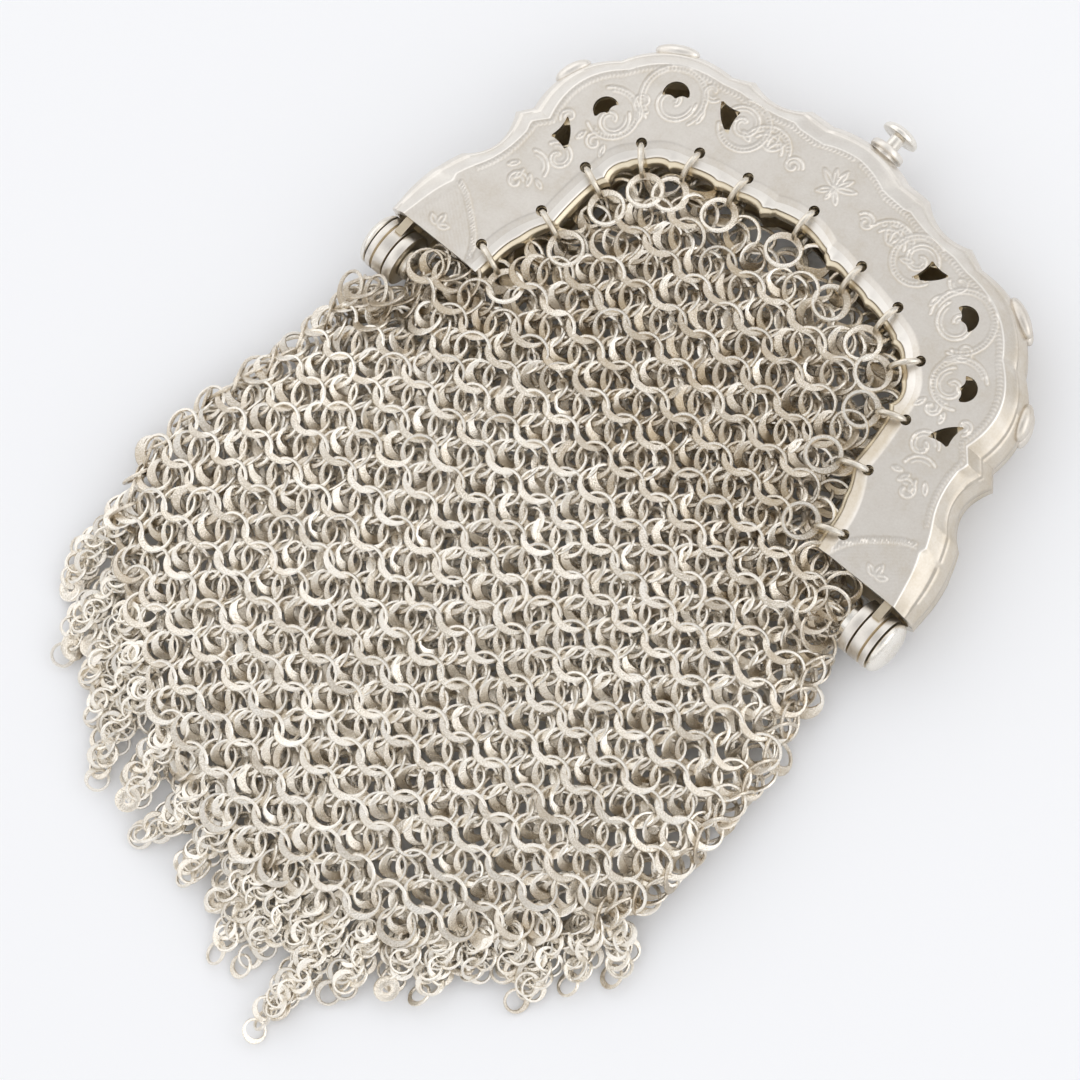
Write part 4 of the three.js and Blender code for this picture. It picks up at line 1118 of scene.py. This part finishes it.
def rampNode(tree, stops):
    node = tree.nodes.new("ShaderNodeValToRGB")
    elements = node.color_ramp.elements
    for element, (position, colour) in zip((elements[0], elements[1]), (stops[0], stops[-1])):
        element.position = position
        element.color = (*colour, 1)
    for position, colour in stops[1:-1]:
        elements.new(position).color = (*colour, 1)
    return node


# sizes in mm, detail of the two noises, and the middle part of a noise that counts
grain = dict(cloudSize=3.0, cloudDetail=5.0, fineDetail=3.0, depth=0.05, low=0.3, high=0.7)


# worn silver: the value of tarnish and painted shade and the noise pick the colour, fine grain roughens it
def silver(name, ramp, roughness, bumpStrength, grainSize, blotch, speck):
    material = bpy.data.materials.new(name)
    material.use_nodes = True
    tree = material.node_tree
    tree.nodes.clear()
    link = tree.links.new

    def make(kind, values, sources):
        node = tree.nodes.new("ShaderNode" + kind)
        for key, value in values.items():
            node.inputs[key].default_value = value
        for key, source in sources.items():
            link(source, node.inputs[key])
        return node.outputs

    def spread(source, low, high, fromLow=0.0, fromHigh=1.0):
        values = {"From Min": fromLow, "From Max": fromHigh, "To Min": low, "To Max": high}
        return make("MapRange", values, {"Value": source})["Result"]

    def add(one, two):
        outputs = make("Math", {}, {0: one, 1: two})
        outputs["Value"].node.operation = "ADD"
        return outputs["Value"]

    place = {"Vector": make("TexCoord", {}, {})["Object"]}
    tarnish = tree.nodes.new("ShaderNodeAttribute")
    tarnish.attribute_name = "tarnish"
    cloudValues = {"Scale": 1 / (grain["cloudSize"] * mm), "Detail": grain["cloudDetail"]}
    cloud = make("TexNoise", cloudValues, place)["Fac"]
    fine = make("TexNoise", {"Scale": 1 / (grainSize * mm), "Detail": grain["fineDetail"]}, place)["Fac"]
    total = add(tarnish.outputs["Fac"], spread(cloud, -blotch, blotch, grain["low"], grain["high"]))
    total = add(total, spread(fine, -speck, speck, grain["low"], grain["high"]))
    colours = rampNode(tree, ramp)
    link(total, colours.inputs["Fac"])
    bumpValues = {"Strength": bumpStrength, "Distance": grain["depth"] * mm}
    bump = make("Bump", bumpValues, {"Height": fine})["Normal"]
    shader = make("BsdfPrincipled", {"Metallic": 1.0}, {
        "Base Color": colours.outputs["Color"], "Roughness": spread(cloud, *roughness), "Normal": bump})
    make("OutputMaterial", {}, {"Surface": shader["BSDF"]})
    return material


# colours by tarnish and painted shade, roughness, strength and size of the grain, shift of the tarnish by
# blotches and specks
looks = {
    "frame_silver": ([(0.0, (0.90, 0.862, 0.80)), (0.25, (0.77, 0.725, 0.66)), (0.6, (0.56, 0.48, 0.36)),
                      (1.0, (0.84, 0.745, 0.57))], (0.28, 0.42), 0.25, 0.3, 0.08, 0.04),
    "bright_silver": ([(0.0, (0.90, 0.865, 0.80)), (0.4, (0.72, 0.66, 0.56)), (1.0, (0.38, 0.30, 0.19))],
                      (0.2, 0.34), 0.3, 0.3, 0.12, 0.08),
    "mail_silver": ([(0.0, (0.95, 0.905, 0.825)), (0.25, (0.87, 0.805, 0.70)), (0.5, (0.68, 0.61, 0.51)),
                     (1.0, (0.46, 0.37, 0.25))], (0.18, 0.36), 1.0, 0.17, 0.12, 0.26),
}
silvers = {name: silver(name, *values) for name, values in looks.items()}

makeObject("frame_front_silver", "frame_silver", "frame_front", [
    (channelHalf, *channel["frontGrid"], True), (addKnuckles, hinge["front"]),
    (addBrackets, hinge["frontBracket"])])
makeObject("frame_back_silver", "frame_silver", "frame_back", [
    (channelHalf, *channel["backGrid"], False), (addBrackets, hinge["backBracket"]), (turnOver,),
    (addKnuckles, hinge["back"]), (onButton, button["collar"], button["bushTone"])])

for side, word in ((1, "right"), (-1, "left")):
    node = f"hinge_pin_{word}"
    makeObject(f"{node}_silver", "bright_silver", node, [(onHinge, pin["rows"], side, pin["tone"])])
makeObject("push_button_silver", "bright_silver", "push_button",
           [(onButton, button["stem"], button["tone"])], "button")

for word, isFront in (("front", True), ("back", False)):
    for number, (hole, hang) in enumerate(zip(holes, hangs), 1):
        node = f"jump_ring_{word}_{number:02d}"
        makeObject(f"{node}_silver", "bright_silver", node, [(addJumpRing, hole, hang, isFront)])

chainPieces = [
    ("mail_front_sheet", "mail_pouch", [(addSheet, True), (addHeadRings, True)]),
    ("mail_front_links", "mail_pouch", [(addLinks,)]),
    ("mail_front_inner", "mail_pouch", [(addInner,)]),
    ("mail_back_sheet", "mail_pouch", [(addSheet, False), (addHeadRings, False), (addSideRings,)]),
    ("fringe_chains", "fringe", [(addHem,), (addFringe,)]),
]
for name, replaced, makers in chainPieces:
    makeObject(name, "mail_silver", replaced, makers, sharp=40)

# the pale surface it lies on
surface = dict(half=3, colour=(0.92, 0.927, 0.942, 1), roughness=0.9)
half = surface["half"]
floorMesh = bpy.data.meshes.new("floor")
square = [(-half, -half, 0), (half, -half, 0), (half, half, 0), (-half, half, 0)]
floorMesh.from_pydata(square, [], [(0, 1, 2, 3)])
floor = bpy.data.objects.new("floor", floorMesh)
bpy.context.scene.collection.objects.link(floor)
paper = bpy.data.materials.new("pale_surface")
paper.use_nodes = True
sheet = paper.node_tree.nodes["Principled BSDF"]
sheet.inputs["Base Color"].default_value = surface["colour"]
sheet.inputs["Roughness"].default_value = surface["roughness"]
floorMesh.materials.append(paper)

# the view: from the right of the purse and above, rolled
view = dict(distance=600, azimuth=69.47, elevation=72.68, roll=41.16, focal=4664.8 / 1080,
            aim=(1.704, 0.698, 5.0), sensor=36.0, nearest=0.01)
azimuth, elevation, roll = (math.radians(view[key]) for key in ("azimuth", "elevation", "roll"))
away = Vector((math.cos(elevation) * math.sin(azimuth), -math.cos(elevation) * math.cos(azimuth),
               math.sin(elevation)))
level = Vector((0, 1, 0)).cross(away).normalized()
rise = away.cross(level)
right = math.cos(roll) * level + math.sin(roll) * rise
up = -math.sin(roll) * level + math.cos(roll) * rise
spot = (Vector(view["aim"]) + view["distance"] * away) * mm
lens = bpy.data.cameras.new("camera")
lens.sensor_width = view["sensor"]
lens.lens = view["sensor"] * view["focal"]
lens.clip_start = view["nearest"]
camera = bpy.data.objects.new("camera", lens)
camera.matrix_world = Matrix((
    (right.x, up.x, away.x, spot.x), (right.y, up.y, away.y, spot.y),
    (right.z, up.z, away.z, spot.z), (0, 0, 0, 1)))
bpy.context.scene.collection.objects.link(camera)
bpy.context.scene.camera = camera

# soft studio light: a bright tent, greyer overhead, with one large lamp to the left
tent = dict(strength=1.1, tones=[
    (0.0, (0.40, 0.40, 0.41)), (0.22, (0.74, 0.74, 0.7474)), (0.5, (1.03, 1.03, 1.0403)),
    (0.8, (0.90, 0.90, 0.909)), (1.0, (0.53, 0.53, 0.54))])
world = bpy.data.worlds.new("tent")
world.use_nodes = True
tree = world.node_tree
glow = tree.nodes["Background"]
sky = tree.nodes.new("ShaderNodeTexCoord")
parts = tree.nodes.new("ShaderNodeSeparateXYZ")
tones = rampNode(tree, tent["tones"])
tree.links.new(sky.outputs["Generated"], parts.inputs["Vector"])
tree.links.new(parts.outputs["Z"], tones.inputs["Fac"])
tree.links.new(tones.outputs["Color"], glow.inputs["Color"])
glow.inputs["Strength"].default_value = tent["strength"]
bpy.context.scene.world = world

# place, size and power
lamps = {"key": ((-0.75, 0.1, 0.45), 1.3, 1.1), "fill": ((0.6, 0.3, 0.35), 0.6, 0.6)}
for name, (place, size, power) in lamps.items():
    light = bpy.data.lights.new(name, "AREA")
    light.size = size
    light.energy = power
    lamp = bpy.data.objects.new(name, light)
    lamp.location = place
    lamp.rotation_euler = (-Vector(place)).to_track_quat("-Z", "Y").to_euler()
    bpy.context.scene.collection.objects.link(lamp)
bpy.context.scene.view_settings.view_transform = "Standard"
print("stage, camera and light set")
